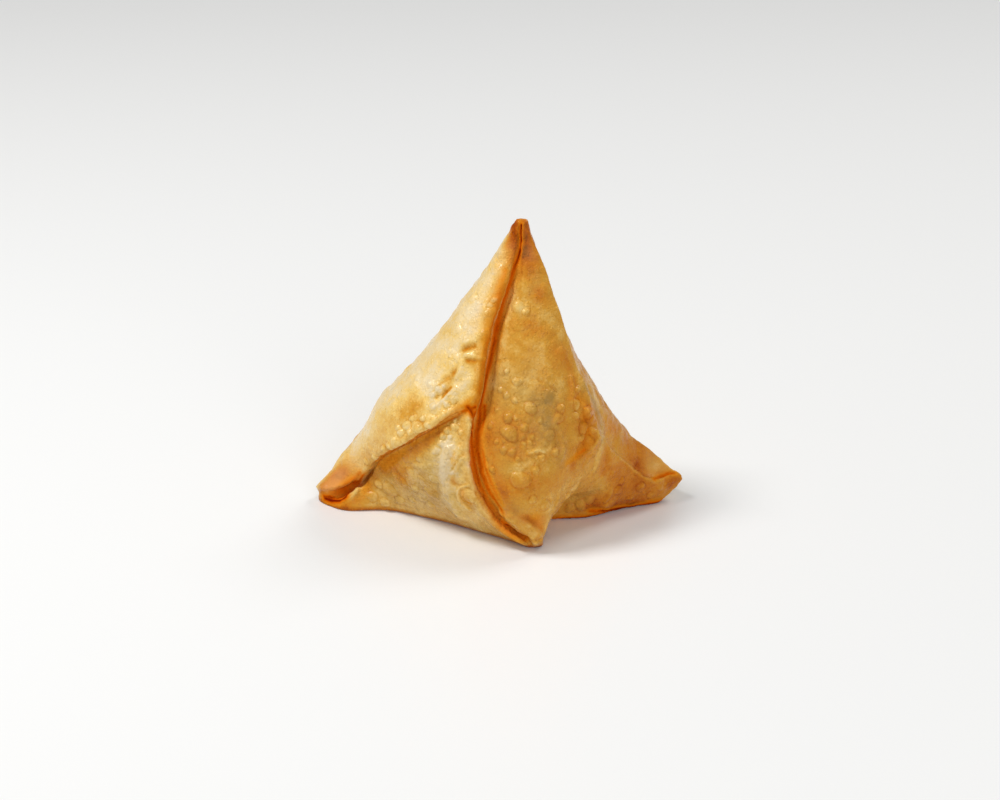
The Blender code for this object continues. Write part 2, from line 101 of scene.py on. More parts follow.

# Marks, placed as they are seen from the front. Each list is one stroke through its marks: places
# across and down the picture, with the reach there in tenths of a millimetre and the amount in
# hundredths. Folds with oil and painted shade: the oil's orange, darkened as painted shade in the
# folds and the orange valley beside the flap, with painted shade under the flap's lower edge and
# where the right side meets the floor.
HOLLOWS = (
    [(470.5, 428, 6, 97), (471.5, 432, 6, 100), (472, 437, 5, 92)],
    [(508, 526, 9, 90), (517, 532.5, 11, 100), (526, 538.5, 9, 97)],
    # Painted shade where the right side meets the floor.
    [(592, 510, 10, 80), (603, 510, 10, 96), (616, 508.5, 10, 97), (628, 507, 10, 97),
     (639.4, 506, 10, 96), (650, 503, 10, 85)],
    # Painted shade in the crack under the flap's lower edge.
    [(475, 407.5, 6, 90), (470, 408.5, 6, 80), (463, 412, 5, 70), (452, 418.5, 5, 55),
     (440, 426.5, 5, 46), (428, 434.5, 5, 42), (415, 443, 5, 40), (402, 450.5, 5, 40),
     (390, 457, 5, 42), (380, 463, 5.5, 45), (371, 469, 6, 50), (364, 474, 7, 55)],
    [(475, 412, 10, 88), (473.5, 420, 10, 90), (472, 428, 9, 92)],
    [(567, 463, 8, 35), (575, 457, 10, 40), (583, 450, 11, 42), (589, 441, 12, 42),
     (588, 430, 11, 30)],
    [(585, 418, 12, 30), (583, 408, 10, 25), (578, 398, 9, 20)],
    [(487.5, 340, 5, 60), (485.5, 356, 5, 60), (483.5, 372, 5, 60), (481, 390, 5, 60),
     (478.5, 403, 5, 65)],
    [(470, 405, 5, 75), (463, 408.5, 6, 55), (452, 415, 6, 40), (440, 423, 6, 35),
     (428, 431, 6, 30), (415, 439.5, 6, 25), (402, 447, 6, 22), (390, 454, 6, 20),
     (380, 460, 6, 20)],
    [(456, 456, 8, 40), (455, 463, 8, 35)],
    [(463.5, 490, 9, 40), (465, 496, 10, 45), (469, 503, 9, 35)],
    [(536, 517, 16, 30), (541, 526, 12, 30)],
    [(478, 490, 9, 40), (486, 505, 12, 50), (495, 519, 13, 50), (507, 532, 13, 50),
     (520, 541, 10, 50)],
    [(503, 521, 10, 95), (511, 527, 12, 100), (519, 533, 10, 100)],
    [(654, 479, 8, 75), (661, 476.5, 8, 85), (668, 474, 8, 85), (675, 473, 8, 70)],
    [(576, 457, 7, 68), (584, 450, 8, 70), (589, 441, 8, 66)],
    [(583, 423, 8, 60), (586, 430, 6, 60)],
    [(363, 475, 9, 78), (358, 483, 10, 82), (354, 489, 9, 85)],
    [(371, 476, 10, 45), (368, 484, 10, 45), (364, 491, 9, 38)],
    [(468, 440, 7, 60), (470, 455, 7, 60), (472.5, 470, 7, 60), (476, 483, 7, 60),
     (482, 496, 7, 55), (489, 508, 7, 50), (498, 518, 7, 45)],
    [(324, 496, 9, 95), (331, 497.5, 10, 98), (338, 497.5, 10, 98), (345, 495.5, 9, 95),
     (350, 491, 7, 85)],
    [(331, 490, 10, 20), (338, 488, 12, 40), (346, 484, 13, 66), (353, 479, 13, 70),
     (360, 473, 11, 66)],
    [(463, 411, 10, 80), (469, 409.5, 11, 88), (475, 407, 10, 95)],
    [(521.5, 224, 6, 100), (521, 232, 6.5, 100), (521.5, 240, 7.5, 100), (520.5, 250, 8, 100),
     (517.5, 260, 9, 95), (513.5, 270, 11, 87), (510.5, 280, 13, 82), (506.5, 292, 13, 82),
     (502.5, 302, 14, 82), (498, 320, 15, 86), (494, 344, 13, 89), (490, 362, 12.5, 90),
     (487, 374, 9, 90), (484.5, 386, 9, 90), (482, 398, 9, 90), (480, 408, 9, 90)],
    [(480, 408, 11, 90), (480, 418, 14, 90), (478.5, 428, 16, 88), (477, 440, 19, 86),
     (477, 450, 19, 85), (479.5, 460, 19, 85), (482, 470, 19, 85), (485, 480, 19, 84),
     (489, 490, 18, 84), (495, 500, 16, 82), (500.5, 508, 13, 80), (507, 516, 10, 74)],
    [(515, 282, 9, 35), (506, 312, 9, 30), (501, 335, 8, 30), (496.5, 360, 7, 15),
     (490.5, 385, 6, 10)],
    [(506, 270, 9.2, 58), (498.5, 298, 14.9, 67), (493, 320, 13.8, 66), (488, 336, 12.6, 66),
     (484.5, 352, 11.5, 60), (482, 368, 11.5, 58), (480, 384, 10.3, 58), (478, 400, 10.3, 58)],
    [(325, 498.5, 11, 100), (332, 500.5, 14, 100), (340, 500.5, 14, 100), (346, 497, 11, 100),
     (351, 491, 9, 96)],
    [(468, 403, 8, 50), (460, 408, 8, 45), (450, 413.5, 7, 30)],
    [(468, 407, 13, 95), (471, 411, 13, 95), (473, 416, 10, 92)],
    [(484.5, 406, 9, 90), (484.5, 418, 9, 88), (482.5, 428, 8, 80), (481, 438, 7, 50)],
    # Painted shade where the right side meets the floor.
    [(590, 511, 9, 90), (604, 511, 9, 98), (620, 509.5, 9, 98), (636, 508, 9, 98),
     (650, 505, 8, 90)],
    [(471, 432, 8, 85), (471.5, 440, 9, 88), (472.5, 452, 10, 88), (474.5, 464, 10, 86),
     (477.5, 476, 10, 85), (481, 486, 10, 82), (486, 496, 10, 76)],
    [(481.5, 440, 8, 60), (482.5, 452, 9, 74), (485, 464, 10, 76), (488, 474, 11, 76),
     (491.5, 484, 12, 72), (496, 494, 12, 64), (501.5, 504, 11, 50)],
    # Painted shade under the flap's lower edge.
    [(452, 414.5, 10, 45), (438, 423, 10, 55), (422, 432.5, 10, 60), (406, 441.5, 10, 60),
     (390, 451, 10, 55), (376, 460.5, 10, 45)],
    [(404, 450, 14, 40), (394, 458, 18, 45), (384, 466, 16, 40)],
    [(404, 470, 24, 20), (402, 484, 20, 15)],
)
# Painted shade deep inside the folds and slits.
DEPTHS = (
    [(326, 494, 16, 50), (336, 493, 24, 66), (346, 490, 26, 85), (354, 484, 20, 85),
     (362, 476, 14, 76)],
    [(502, 520, 7, 90), (510, 527, 10, 100), (518, 533, 10, 102), (526, 539, 8, 100)],
    [(468, 436, 12, 70), (470, 455, 15, 70), (475, 475, 16, 70), (483, 493, 16, 70),
     (492, 508, 14, 70)],
)
# Pastry baked darker than the panel round it, and painted shade under the flap's lower edge,
# in the crease above the front foot's lip and where the right side meets the floor.
BROWNED_AND_SHADED = (
    [(511, 256, 12.6, 20), (505, 272, 17.2, 27), (499, 288, 20.7, 32), (493, 302, 19.5, 32),
     (489, 315, 16.1, 30), (485, 331, 13.8, 20), (481, 346, 19.5, 16), (478, 360, 23, 16),
     (477, 375, 20.7, 20), (476, 390, 18.4, 26), (474, 400, 18.4, 28)],
    [(473, 403, 15.4, 30), (463, 406, 20.9, 28), (452, 411, 25.3, 22), (440, 419, 26.4, 16),
     (428, 426, 26.4, 14), (416, 433, 25.3, 12), (404, 440, 24.2, 11), (392, 447, 22, 10),
     (380, 454, 20.9, 8), (368, 461, 19.8, 8), (356, 470, 18.7, 12), (346, 480, 17.6, 16)],
    [(417.6, 403.3, 40, 12)],
    [(399.8, 420.2, 60, 10)],
    [(379.8, 438.7, 55, 10)],
    [(449, 324, 35, 6)],
    [(326, 489, 26, 40), (335, 482, 30, 35), (347, 474, 30, 20)],
    [(323, 494, 16, 30)],
    [(525, 258, 30, 25), (530, 268, 35, 15)],
    [(541, 296, 26, 22), (548, 303, 26, 20)],
    [(530, 325, 24, 13), (541, 333, 20, 12), (551, 337, 20, 12)],
    [(561, 352, 30, 12), (567, 362, 24, 15), (571, 372, 18, 15), (573, 384, 16, 15),
     (571, 398, 16, 15)],
    [(486, 340, 18, 20), (494, 345, 12, 20), (497, 330, 16, 15), (502, 318, 14, 10)],
    [(490, 412, 22, 10), (488, 425, 28, 10), (489, 440, 34, 10), (492, 455, 26, 10),
     (494, 470, 20, 10), (498, 485, 16, 10), (503, 497, 16, 10)],
    [(507.8, 444.4, 25, 8), (513, 455, 25, 8)],
    [(510, 487, 32, 14), (522, 484, 30, 14), (536, 482, 32, 14), (548, 486, 26, 14)],
    [(532, 496, 30, 10)],
    [(582, 398, 16, 20), (587, 411, 22, 28), (583, 425, 24, 24), (588, 440, 24, 24),
     (581, 452, 18, 24), (573, 464, 15, 24)],
    [(640, 448, 24, 12), (639, 460, 26, 14), (636, 468, 20, 10)],
    [(613.9, 429, 24, 12)],
    [(608, 450, 14, 8), (607, 460, 14, 10), (603, 474, 14, 8)],
    [(622, 470, 35, 14), (632, 484, 50, 20), (648, 494, 50, 18)],
    [(598, 500, 30, 12), (618, 498, 35, 12)],
    [(670, 481, 20, 15), (660, 476, 12, 20)],
    # Painted shade under the flap's lower edge.
    [(417.6, 446, 24, 6), (430, 440, 16, 8), (445, 430, 13, 8)],
    [(400.9, 477, 30, 16)],
    [(369, 481, 20, 25), (366, 492, 22, 25), (356, 500, 18, 25), (343, 503, 12, 25)],
    [(470.5, 450, 6, 11), (472, 465, 7, 13), (475, 478, 9, 18), (480, 488, 13, 22),
     (486, 498, 17, 22), (492, 510, 20, 20), (501, 521, 22, 20), (512, 531, 22, 20),
     (524, 541, 20, 20)],
    # Painted shade where the right side meets the floor.
    [(592, 508, 20, 30), (616, 505, 20, 30), (640, 502, 20, 25)],
    [(452, 477, 8, 35), (455, 483, 7, 30)],
    [(474, 346, 10, 30), (466, 349, 13, 34)],
    [(457, 370, 12, 14), (447, 379, 14, 18), (440, 386, 12, 14)],
    [(345, 470, 14, 20), (338, 476, 18, 30)],
    [(680, 478, 22, 12), (672, 484, 22, 12)],
    [(512, 510, 6, 12), (524, 515, 7, 12), (536, 523, 7, 14), (542, 531, 6, 16)],
    [(630, 482, 40, 6), (648, 492, 45, 6), (662, 490, 30, 8)],
    [(678, 480, 26, 14)],
    [(540, 519, 18, 16)],
    [(478, 490, 10, 20), (487, 505, 13, 22), (498, 521, 14, 22), (512, 535, 13, 22)],
    [(322, 487, 24, 14), (330, 480, 24, 16), (340, 472, 24, 16)],
    [(330, 503, 16, 22), (345, 506, 16, 20)],
    [(625, 440, 30, 8), (641, 472, 30, 10)],
    [(604, 470, 26, 6), (618, 486, 26, 10)],
    [(660, 459, 26, 12), (668, 470, 20, 14)],
    [(514, 224, 24, 76), (513, 234, 22, 70), (510, 244, 18, 50), (507, 252, 13, 18)],
    [(527, 226, 24, 38), (528, 238, 26, 33), (530, 250, 28, 20), (533, 262, 30, 8)],
    [(520, 430, 60, 6), (550, 440, 50, 6), (545, 405, 40, 6)],
    [(470, 352, 20, 8), (455, 372, 24, 10), (447, 383, 20, 10)],
    [(380, 435, 50, 10), (400, 412, 40, 10), (365, 455, 30, 8)],
    # Painted shade in the crease above the front foot's lip.
    [(512, 516, 7, 10), (524, 518.5, 9, 14), (534, 521, 10, 16), (541, 528, 9, 16)],
    [(468, 360.5, 9, 28), (475, 361.5, 10, 30), (482, 361, 8, 20)],
    [(458, 371, 8, 14), (454, 376, 10, 16), (451, 381, 8, 14)],
    [(451, 388, 8, 25), (447, 392, 10, 32), (444, 397, 8, 28)],
    [(443, 388, 7, 25), (439, 393, 9, 30), (437, 398, 7, 25)],
    [(409, 413, 24, 10), (416, 408, 28, 13), (423, 402, 24, 10)],
    [(378, 480, 30, 6), (392, 477, 35, 8), (408, 470, 35, 6), (420, 458, 24, 4)],
    # Painted shade under the flap's lower edge.
    [(440, 432, 14, 24), (424, 443, 20, 28), (411, 451, 26, 30), (398, 458.5, 28, 30),
     (387, 465, 26, 30), (376, 472, 20, 30), (368, 479, 16, 26)],
    [(457, 455, 8, 25), (455, 462, 10, 30), (454, 469, 8, 25)],
    [(467.5, 438, 6, 20), (467, 450, 6, 20), (469, 462, 6, 20), (473, 476, 7, 22),
     (478, 490, 7, 20), (485, 503, 8, 20), (494, 516, 8, 18), (506, 529, 8, 15)],
    [(516, 529, 10, 12), (524, 534, 12, 12)],
    [(524, 236, 10, 10), (525, 246, 12, 18), (523.5, 256, 10, 18)],
    [(326, 486, 24, 10), (338, 477, 26, 8)],
    [(490, 440, 25, 8), (496, 470, 25, 8), (502, 490, 22, 8), (510, 505, 20, 8)],
    [(517, 238, 10, 14), (516, 246, 11, 26), (514, 255, 10, 28), (511.5, 264, 9, 16)],
    [(352, 463, 36, 10), (361, 456, 30, 5)],
)
# Pastry paler than the panel round it, and painted highlights along the rim's edge, the lips of
# the feet and small ridges.
PALED_AND_HIGHLIT = (
    [(521.7, 308, 16, 20)],
    [(519, 468, 24, 16), (528, 466, 24, 14), (541, 471, 20, 6)],
    [(514, 288, 16, 10), (507, 325, 12, 15), (503, 345, 14, 10)],
    # Painted highlight along the rim's edge.
    [(469, 420, 8, 15), (467, 432, 7, 15), (470, 448, 7, 20), (470, 460, 7, 20), (471, 472, 7, 15)],
    [(448, 445, 20, 12), (446, 466, 20, 12), (443, 478, 16, 10)],
    [(447, 494, 24, 10), (455, 507, 24, 10), (466, 516, 20, 10)],
    [(590, 386, 16, 10), (600, 410, 20, 12), (603, 432, 18, 14), (600, 450, 14, 15),
     (593, 470, 10, 10)],
    [(655, 462, 20, 12)],
    [(573, 486, 24, 10), (580, 478, 20, 8)],
    [(484, 290, 50, 6), (462, 330, 60, 8), (430, 372, 60, 6)],
    [(662, 466, 24, 18), (650, 468, 20, 15)],
    [(446, 448, 10, 14), (444, 462, 11, 14), (443, 476, 10, 12)],
    [(456, 488, 6, 16), (458, 500, 6, 16), (464, 509, 6, 14)],
    [(450, 440, 24, 14), (452, 460, 24, 14), (458, 480, 22, 10)],
    [(468, 438, 12, 10), (470, 462, 12, 12)],
    [(505, 372, 30, 14), (520, 385, 35, 12), (545, 374, 30, 8), (560, 385, 24, 6)],
    [(552, 315, 35, 12), (562, 338, 30, 10), (545, 340, 30, 6)],
    [(508, 475, 24, 8), (518, 478, 24, 6)],
    [(402, 433, 14, 12), (412, 427, 14, 12)],
    # Painted highlight along the left foot's lip.
    [(326, 503, 5, 15), (334, 505, 5, 15), (343, 504, 5, 15), (350, 500, 5, 20), (356, 493, 5, 22),
     (361, 484, 5, 22), (366, 475, 5, 20)],
    [(440, 440, 20, 12), (436, 462, 24, 8), (436, 485, 24, 6)],
    [(452, 450, 24, 10), (454, 472, 24, 10), (448, 500, 30, 10)],
    [(456, 425, 16, 12), (447, 433, 20, 14)],
    # Painted highlight on the front foot's lip.
    [(505, 519, 8, 20), (514, 523, 10, 28), (524, 528, 10, 28), (534, 534, 10, 24)],
    # Painted highlight on two small ridges.
    [(529, 452, 6, 20), (537, 450, 7, 24), (544, 451, 6, 20)],
    [(444, 458, 30, 8), (448, 476, 25, 6)],
    [(497, 385, 20, 12)],
    [(508, 468, 26, 6)],
    # Painted highlight along the rim's edge.
    [(466, 445, 6, 20), (466, 455, 6, 25), (468, 466, 7, 25), (471, 477, 7, 20)],
    [(494, 383, 14, 15)],
)
# Thin pastry with the filling dimly behind it.
GREYED = (
    [(524, 392, 26, 40), (536, 398, 24, 40), (552, 396, 26, 55)],
    [(546.7, 410, 26, 65), (548, 425, 30, 60), (546, 440, 26, 45)],
    [(528, 367, 26, 30), (500, 375, 16, 30)],
    [(514, 511, 22, 35)],
    [(430, 462, 50, 28), (440, 500, 55, 42), (418, 495, 55, 38), (400, 497, 50, 30)],
    [(585, 386, 14, 50), (593, 400, 16, 60), (600, 420, 18, 50), (602, 440, 16, 45)],
    [(622, 440, 25, 12)],
    [(575, 497, 34, 40), (590, 492, 30, 40)],
    [(651, 460, 24, 25)],
    [(563, 440, 20, 30), (560, 460, 25, 30)],
    [(505, 400, 40, 20), (512, 440, 50, 20), (530, 420, 40, 20)],
    [(507, 468, 24, 20)],
    [(498, 385, 22, 25), (500, 400, 22, 20)],
)
# Pinkish crust.
ROSY = (
    [(502, 262, 24, 30), (508, 248, 18, 35)],
    [(336, 482, 34, 40), (325, 491, 20, 25)],
    [(528, 254, 22, 20)],
    [(541, 524, 18, 40)],
    [(454, 480, 14, 30)],
    [(664, 466, 26, 30), (650, 472, 20, 24)],
    [(650, 456, 26, 30)],
    [(469.5, 430, 6, 26), (467.5, 438, 7, 34), (466.5, 446, 8, 39), (466.5, 456, 8, 39),
     (468.5, 466, 8, 39), (471.5, 478, 9, 39), (476.5, 491, 10, 37), (483.5, 505, 10, 32),
     (493, 520, 10, 29), (508, 534, 10, 26)],
    [(505, 512, 8, 35), (515, 518, 10, 45), (525, 525, 10, 45), (533, 532, 9, 40)],
    [(342, 474, 30, 35), (354, 464, 30, 20)],
    [(366, 476, 16, 30), (358, 485, 16, 30)],
    [(328, 484, 24, 20), (338, 476, 24, 15)],
    [(500, 275, 24, 20), (488, 305, 30, 20), (478, 325, 26, 15)],
    [(328, 489, 16, 40), (336, 487, 16, 40)],
    [(352, 463, 36, 16), (361, 456, 30, 8)],
)
# Low ridges, lips and long blisters.
RAISED = (
    [(482, 333, 9, 35), (474.4, 338.9, 10, 58), (465.6, 342.2, 9, 40)],
    [(474.4, 353.3, 10, 40), (466.7, 355.6, 12, 55), (460, 360, 10, 42)],
    [(463, 364, 11, 70), (461, 371, 12, 85), (457, 377, 9, 60)],
    [(471, 380, 11, 45), (462, 386, 13, 60), (452.2, 394.4, 13, 60), (445, 402, 10, 50)],
    [(444.4, 386.7, 8, 73), (440, 391, 10, 95), (436.7, 394.4, 8, 73)],
    [(450, 394, 5, 45), (441, 403, 6, 45), (433, 410, 5, 38)],
    [(484, 318, 6, 20), (488, 311, 8, 30), (492, 303, 6, 25)],
    [(449.8, 449, 14, 85), (446.5, 460, 16, 102), (444, 472, 15, 85), (443, 480, 11, 51)],
    [(459.8, 449, 8, 68), (457, 457, 11, 94), (454.5, 464, 8, 59)],
    [(463, 458, 5, 51), (457.5, 466, 5, 59), (452, 474, 5, 51), (449, 482, 5, 42)],
    [(468.3, 485, 4.5, 51), (460, 487.8, 5, 68), (458.3, 493, 5, 77), (462.2, 502.2, 5, 68),
     (470, 509.5, 4.5, 51)],
    [(448.7, 488, 22, 85), (451, 500, 26, 102), (458, 511, 22, 85)],
    [(423, 467, 20, 68)],
    [(484, 494, 6, 30), (490, 507, 8, 40), (498, 517, 8, 40), (507, 524, 7, 30)],
    [(367.6, 474, 5, 30), (361.5, 483.2, 6, 50), (357, 491, 7, 60), (352, 497, 7, 60),
     (343, 502, 6, 40)],
    [(529, 454, 3.5, 45), (535, 451.5, 4, 54), (540, 450.5, 4, 54), (544, 452, 3.5, 45)],
    [(561, 436, 9, 48), (563, 450, 10, 64), (560, 462, 9, 48)],
    [(554, 424, 8, 48), (560, 433, 8, 48)],
    [(596, 431, 6, 80), (598.3, 437, 7, 96), (594, 445, 6, 64), (586, 452, 6, 48)],
    [(560, 488, 6, 25), (558, 500, 5, 25), (553, 512, 5, 20)],
    [(548, 489, 5, 15), (552, 500, 5, 20), (549, 510, 5, 20)],
    [(615, 455, 5, 20), (624, 462, 5, 35), (634, 471, 6, 50), (645, 478.8, 6, 55),
     (653, 482, 6, 50), (660, 480, 6, 45), (668, 476.5, 6, 40), (676, 474.5, 6, 30)],
    [(600, 452, 9, 35), (597, 464, 10, 40), (591, 476, 10, 30), (589, 490, 9, 20)],
    [(611, 488, 5, 35), (609, 496, 5, 40), (605, 501, 5, 30)],
    [(596, 480, 9, 35), (596.7, 487, 10, 35)],
    [(583, 408, 10, 48), (590, 420, 10, 48)],
    [(571, 378, 8, 48), (573, 390, 8, 56), (571, 402, 9, 56)],
    [(509, 262, 8, 15), (503, 282, 9, 25), (496, 302, 9, 35), (490, 320, 9, 40), (486, 336, 8, 40),
     (482, 352, 8, 40), (479.5, 368, 8, 40), (478, 384, 8, 40), (476.5, 398, 8, 35)],
    [(472, 402, 8, 30), (462, 405, 9, 35), (450, 412, 9, 35), (438, 420, 9, 30), (424, 429, 9, 30),
     (410, 437, 9, 30), (396, 445, 9, 30), (382, 454, 8, 20)],
    [(470, 425, 6, 30), (468, 436, 8, 50), (466.5, 446, 8, 60), (466.5, 456, 8, 60),
     (468, 466, 8, 60), (471, 478, 9, 60), (476, 491, 9, 60), (483, 505, 10, 60),
     (493, 520, 10, 60), (506, 532, 10, 50), (518, 540, 10, 40)],
    [(502, 512, 10, 60), (512, 517.5, 12, 130), (522, 524, 13, 150), (531, 530, 13, 140),
     (536, 537, 10, 90)],
    [(466, 355, 7, 30), (474, 356.5, 9, 40), (483, 358, 7, 30)],
    [(433, 388, 8, 40), (438, 386, 9, 50)],
    [(455, 392, 14, 50), (459, 398, 14, 40)],
)
# Creases and dents.
LOWERED = (
    [(474, 347, 6, 45), (466, 349, 7, 63), (460, 352, 5, 36)],
    [(456, 371, 5, 25), (447, 378, 6, 35), (440, 384.5, 5, 25)],
    [(495, 362, 4, 10), (503, 359.5, 4, 15), (511, 360, 4, 15), (519, 362.5, 4, 10)],
    [(530, 380, 4, 15), (537, 379.5, 4, 20), (545, 383, 4.5, 25), (553, 388, 4.5, 25),
     (559, 394, 4, 20)],
    [(522, 403, 4, 15), (530, 402, 4.5, 25), (538, 401, 4.5, 25), (546, 403, 4.5, 25),
     (552, 407, 4, 20)],
    [(551, 395, 18, 50)],
    [(556, 440, 16, 40), (560, 425, 12, 30)],
    [(566, 420, 10, 30), (569, 440, 12, 35), (567, 455, 12, 30)],
    [(607.2, 449, 12, 45), (607, 460, 13, 50), (605, 470, 12, 40)],
    [(639, 447, 14, 35), (639, 458, 18, 50), (637, 468, 14, 30)],
    [(655, 480.5, 6, 50), (661, 477.5, 6, 50), (668, 473.7, 5, 40), (676, 472.5, 4, 30)],
    [(357, 478, 9, 50), (352, 486, 12, 90), (344, 492.5, 12, 90), (336, 496.3, 8, 60)],
    [(435, 480, 12, 60), (436, 492, 12, 60)],
    [(594, 500, 14, 30), (600, 488, 10, 25)],
    [(530, 516, 20, 35), (540, 522, 15, 30)],
    [(590, 455, 8, 30), (583, 466, 8, 30)],
    [(507, 526, 6, 60), (516, 532, 7, 110), (525, 538, 7, 100), (531, 543, 5, 50)],
    [(508, 224, 15, 40), (505, 236, 15, 40)],
    [(468, 360.5, 5, 20), (475, 361.5, 6, 25), (482, 361, 4, 10)],
    [(451, 388, 6, 30), (447, 392, 7, 45), (444, 397, 6, 30)],
    [(443, 388, 5, 25), (439, 393, 6, 35), (437, 398, 5, 25)],
)
# Blisters, placed in the same way: across, down, and the radius and the height in hundredths of a
# millimetre. On the front panel:
FRONT_BLISTERS = (
    (509, 433, 198, 137), (524, 428, 119, 82), (523, 436.5, 79, 54), (532, 436.5, 79, 54),
    (530, 442, 79, 54), (518, 382, 129, 89), (506.5, 371.5, 99, 63), (507.5, 417.5, 139, 95),
    (531, 408.5, 149, 94), (561, 408.5, 129, 84), (541, 458, 109, 75), (518, 459, 89, 61),
    (492.5, 470, 109, 72), (491, 426, 119, 82), (517, 306, 178, 72), (526, 312, 119, 63),
    (500, 390, 99, 53), (536, 470, 119, 63), (497, 442, 99, 63), (550, 435, 149, 63),
    (515, 401, 99, 53), (548, 395, 158, 63), (520, 480, 218, 84), (545, 505, 158, 72),
    (533, 500, 119, 63), (503, 450, 119, 72), (512, 452, 119, 63), (524, 444, 69, 47),
    (497, 410, 99, 53), (516, 419, 79, 54), (540, 420, 99, 63), (555, 452, 119, 72),
    (558, 418, 139, 72), (506, 395, 119, 53),
)
# On the flap:
FLAP_BLISTERS = (
    (440, 391, 129, 73), (433, 395, 109, 63), (445, 386, 99, 55), (434, 407, 129, 77),
    (423, 419, 99, 59), (417.6, 426.7, 149, 89), (406.4, 425.6, 139, 73), (428.7, 425, 109, 65),
    (401, 433, 119, 71), (394, 440, 119, 71), (389, 446, 99, 59), (383, 449, 119, 63),
    (430, 384, 119, 55), (447, 405, 99, 55), (455, 400, 109, 55), (490, 305, 99, 59),
    (494, 300, 89, 53), (487, 313, 89, 53), (375, 458, 119, 55), (410, 432, 99, 59),
    (398, 428, 99, 55), (412, 419, 99, 55), (366, 462, 99, 55),
)
# Under the flap:
CHEEK_BLISTERS = (
    (455, 426.7, 119, 71), (446.4, 430, 119, 71), (443, 436, 109, 65), (441, 444.4, 119, 71),
    (436.4, 451, 119, 71), (437, 450, 119, 71), (467.5, 495, 218, 92), (404, 482, 139, 63),
    (389.8, 489, 198, 92), (378.7, 483.3, 129, 73), (371, 496, 149, 73), (434, 480, 129, 63),
    (420, 458, 119, 55), (410, 472, 129, 55), (415, 488, 149, 63), (428, 492, 139, 55),
    (430, 505, 139, 55), (400, 500, 158, 63), (385, 502, 139, 63), (455, 420, 79, 47),
    (450, 437, 89, 53), (413, 500, 119, 55), (395, 475, 119, 55), (461, 432, 89, 53),
)
# On the seam's ridge and the right panel:
SIDE_BLISTERS = (
    (575.6, 404.4, 129, 89), (587.2, 412.2, 168, 116), (582.8, 427.8, 149, 102),
    (576, 416, 119, 82), (588.3, 442.2, 158, 106), (581, 438, 119, 82), (592, 430, 119, 82),
    (577, 390, 99, 63), (618, 490, 139, 63), (630, 497, 119, 63), (622, 481, 119, 53),
    (640, 487, 139, 63), (651, 495, 139, 63), (606, 505, 119, 63), (590, 500, 139, 72),
    (580, 505, 158, 72), (570, 508, 139, 63), (568, 495, 119, 53), (660, 488, 119, 53),
    (612, 473, 119, 53),
)

# Clusters of small blisters: x, y, z, reach, how many, smallest and largest radius.
CLUSTERS = (
    (-10.8, -11.3, 44.3, 7, 22, 0.4, 0.9),
    (-16, -12.5, 37, 6, 9, 0.4, 0.9),
    (-24, -13.5, 28.5, 7, 30, 0.4, 1),
    (5.5, -22, 33, 9, 45, 0.5, 1.2),
    (8, -25, 27, 6, 25, 0.5, 1.1),
    (-14, -18, 24, 9, 60, 0.5, 1.4),
    (-24, -12, 14, 9, 60, 0.5, 1.3),
    (22.5, -13.5, 34, 6, 50, 0.5, 1.4),
    (23.5, -15, 26.5, 5, 50, 0.5, 1.5),
)

# The camera, and the picture that the marks above are placed in, as steps across and down. A mark
# off the outline slides by this share towards the middle until it meets the crust. The parts are
# those of a millimetre, or of the whole amount, that marks and blisters are given in.
CAMERA_PLACE = Vector((0.00025, -0.66894, 0.34714))
CAMERA_AIM = Vector((0.00025, 0.00187, 0.03005))
LENS, SENSOR = 100.0, 36.0
PICTURE = (1000, 800)
MIDDLE = (520, 430)
SLIDE, MOST_SLIDES = 0.01, 30
MARK_PARTS, BLISTER_PARTS = (10, 100), (100, 100)

# A stroke ends this many reaches away, and fades over crust that turns away from it.
STROKE_END = 3.0
TURNED_AWAY = 0.3

# The share of each ridge, and of the fold and the seam, in the middle that turns are taken round.
RIDGE_SHARE, FOLD_SHARE = 0.3, 0.2

# How the solid's triangles are joined and which folded edges stay crisp: metres and radians.
JOINED_WITHIN = 0.00002
ANY_ANGLE = 3.14
FOLDED_ANGLE = 0.6

# Where splitting the faces leaves the crust this far off the solid, it is drawn back by this share.
OFF_THE_SOLID = (0.08, 0.5)
DRAWN_BACK = 0.9

# Clefts and edges that stand this far off the smoothed crust are softened by this share.
SOFT_ROUNDS, BEND_ROUNDS = 60, 6
CLEFT, CLEFT_FILLED = (0.05, 0.25), 1.0
SHARP_EDGE, EDGE_ROUNDED = (0.08, 0.5), 0.15

# Blisters: how far each is felt, in radii, how much they are stretched, and their uneven outline.
BLISTER_END = 1.9
BLISTER_FACING = 0.3
STRETCHED = 0.35
LOBES, LOBE_DEPTH, FULL_TURN = 3, 0.07, 6.3
# The domes of those wider than this are flatter on top. The groove round each has a depth, by the
# dome's height, a place and a width, in radii, and ends where a neighbour's dome is this high.
WIDE_BLISTER, WIDE_DOME, SMALL_DOME = 1.2, 0.75, 1.1
GROOVE_DEPTH, GROOVE_PLACE, GROOVE_WIDTH, GROOVE_END = 0.025, 1.1, 0.25, 0.08
# Small blisters' radii and their heights by the radius, each as the least and how much more, how
# rare the large ones are, and how closely a cluster is gathered.
LOOSE_RADIUS, LOOSE_RARITY, LOOSE_HEIGHT = (0.55, 1.5), 2.5, (0.07, 0.13)
CLUSTER_RARITY, CLUSTER_HEIGHT, CLUSTER_GATHERED = 2, (0.18, 0.14), 0.6
DRAW_SEED = 7

# Noise: its shift by seed, then each kind's wave length and seed, and the amounts of two of them.
NOISE_SHIFT = (17.3, -9.1, 5.7)
RIDGE_WAVES, LONG_WAVES, SHORT_WAVES = (1.8, 3), (6.0, 1), (2.2, 2)
RIDGES_VARY, SHORT_AMOUNT = 0.45, 0.4
# Over this height the foot of the crust passes from flat to its full relief.
FLAT_FOOT = (0.2, 1.5)

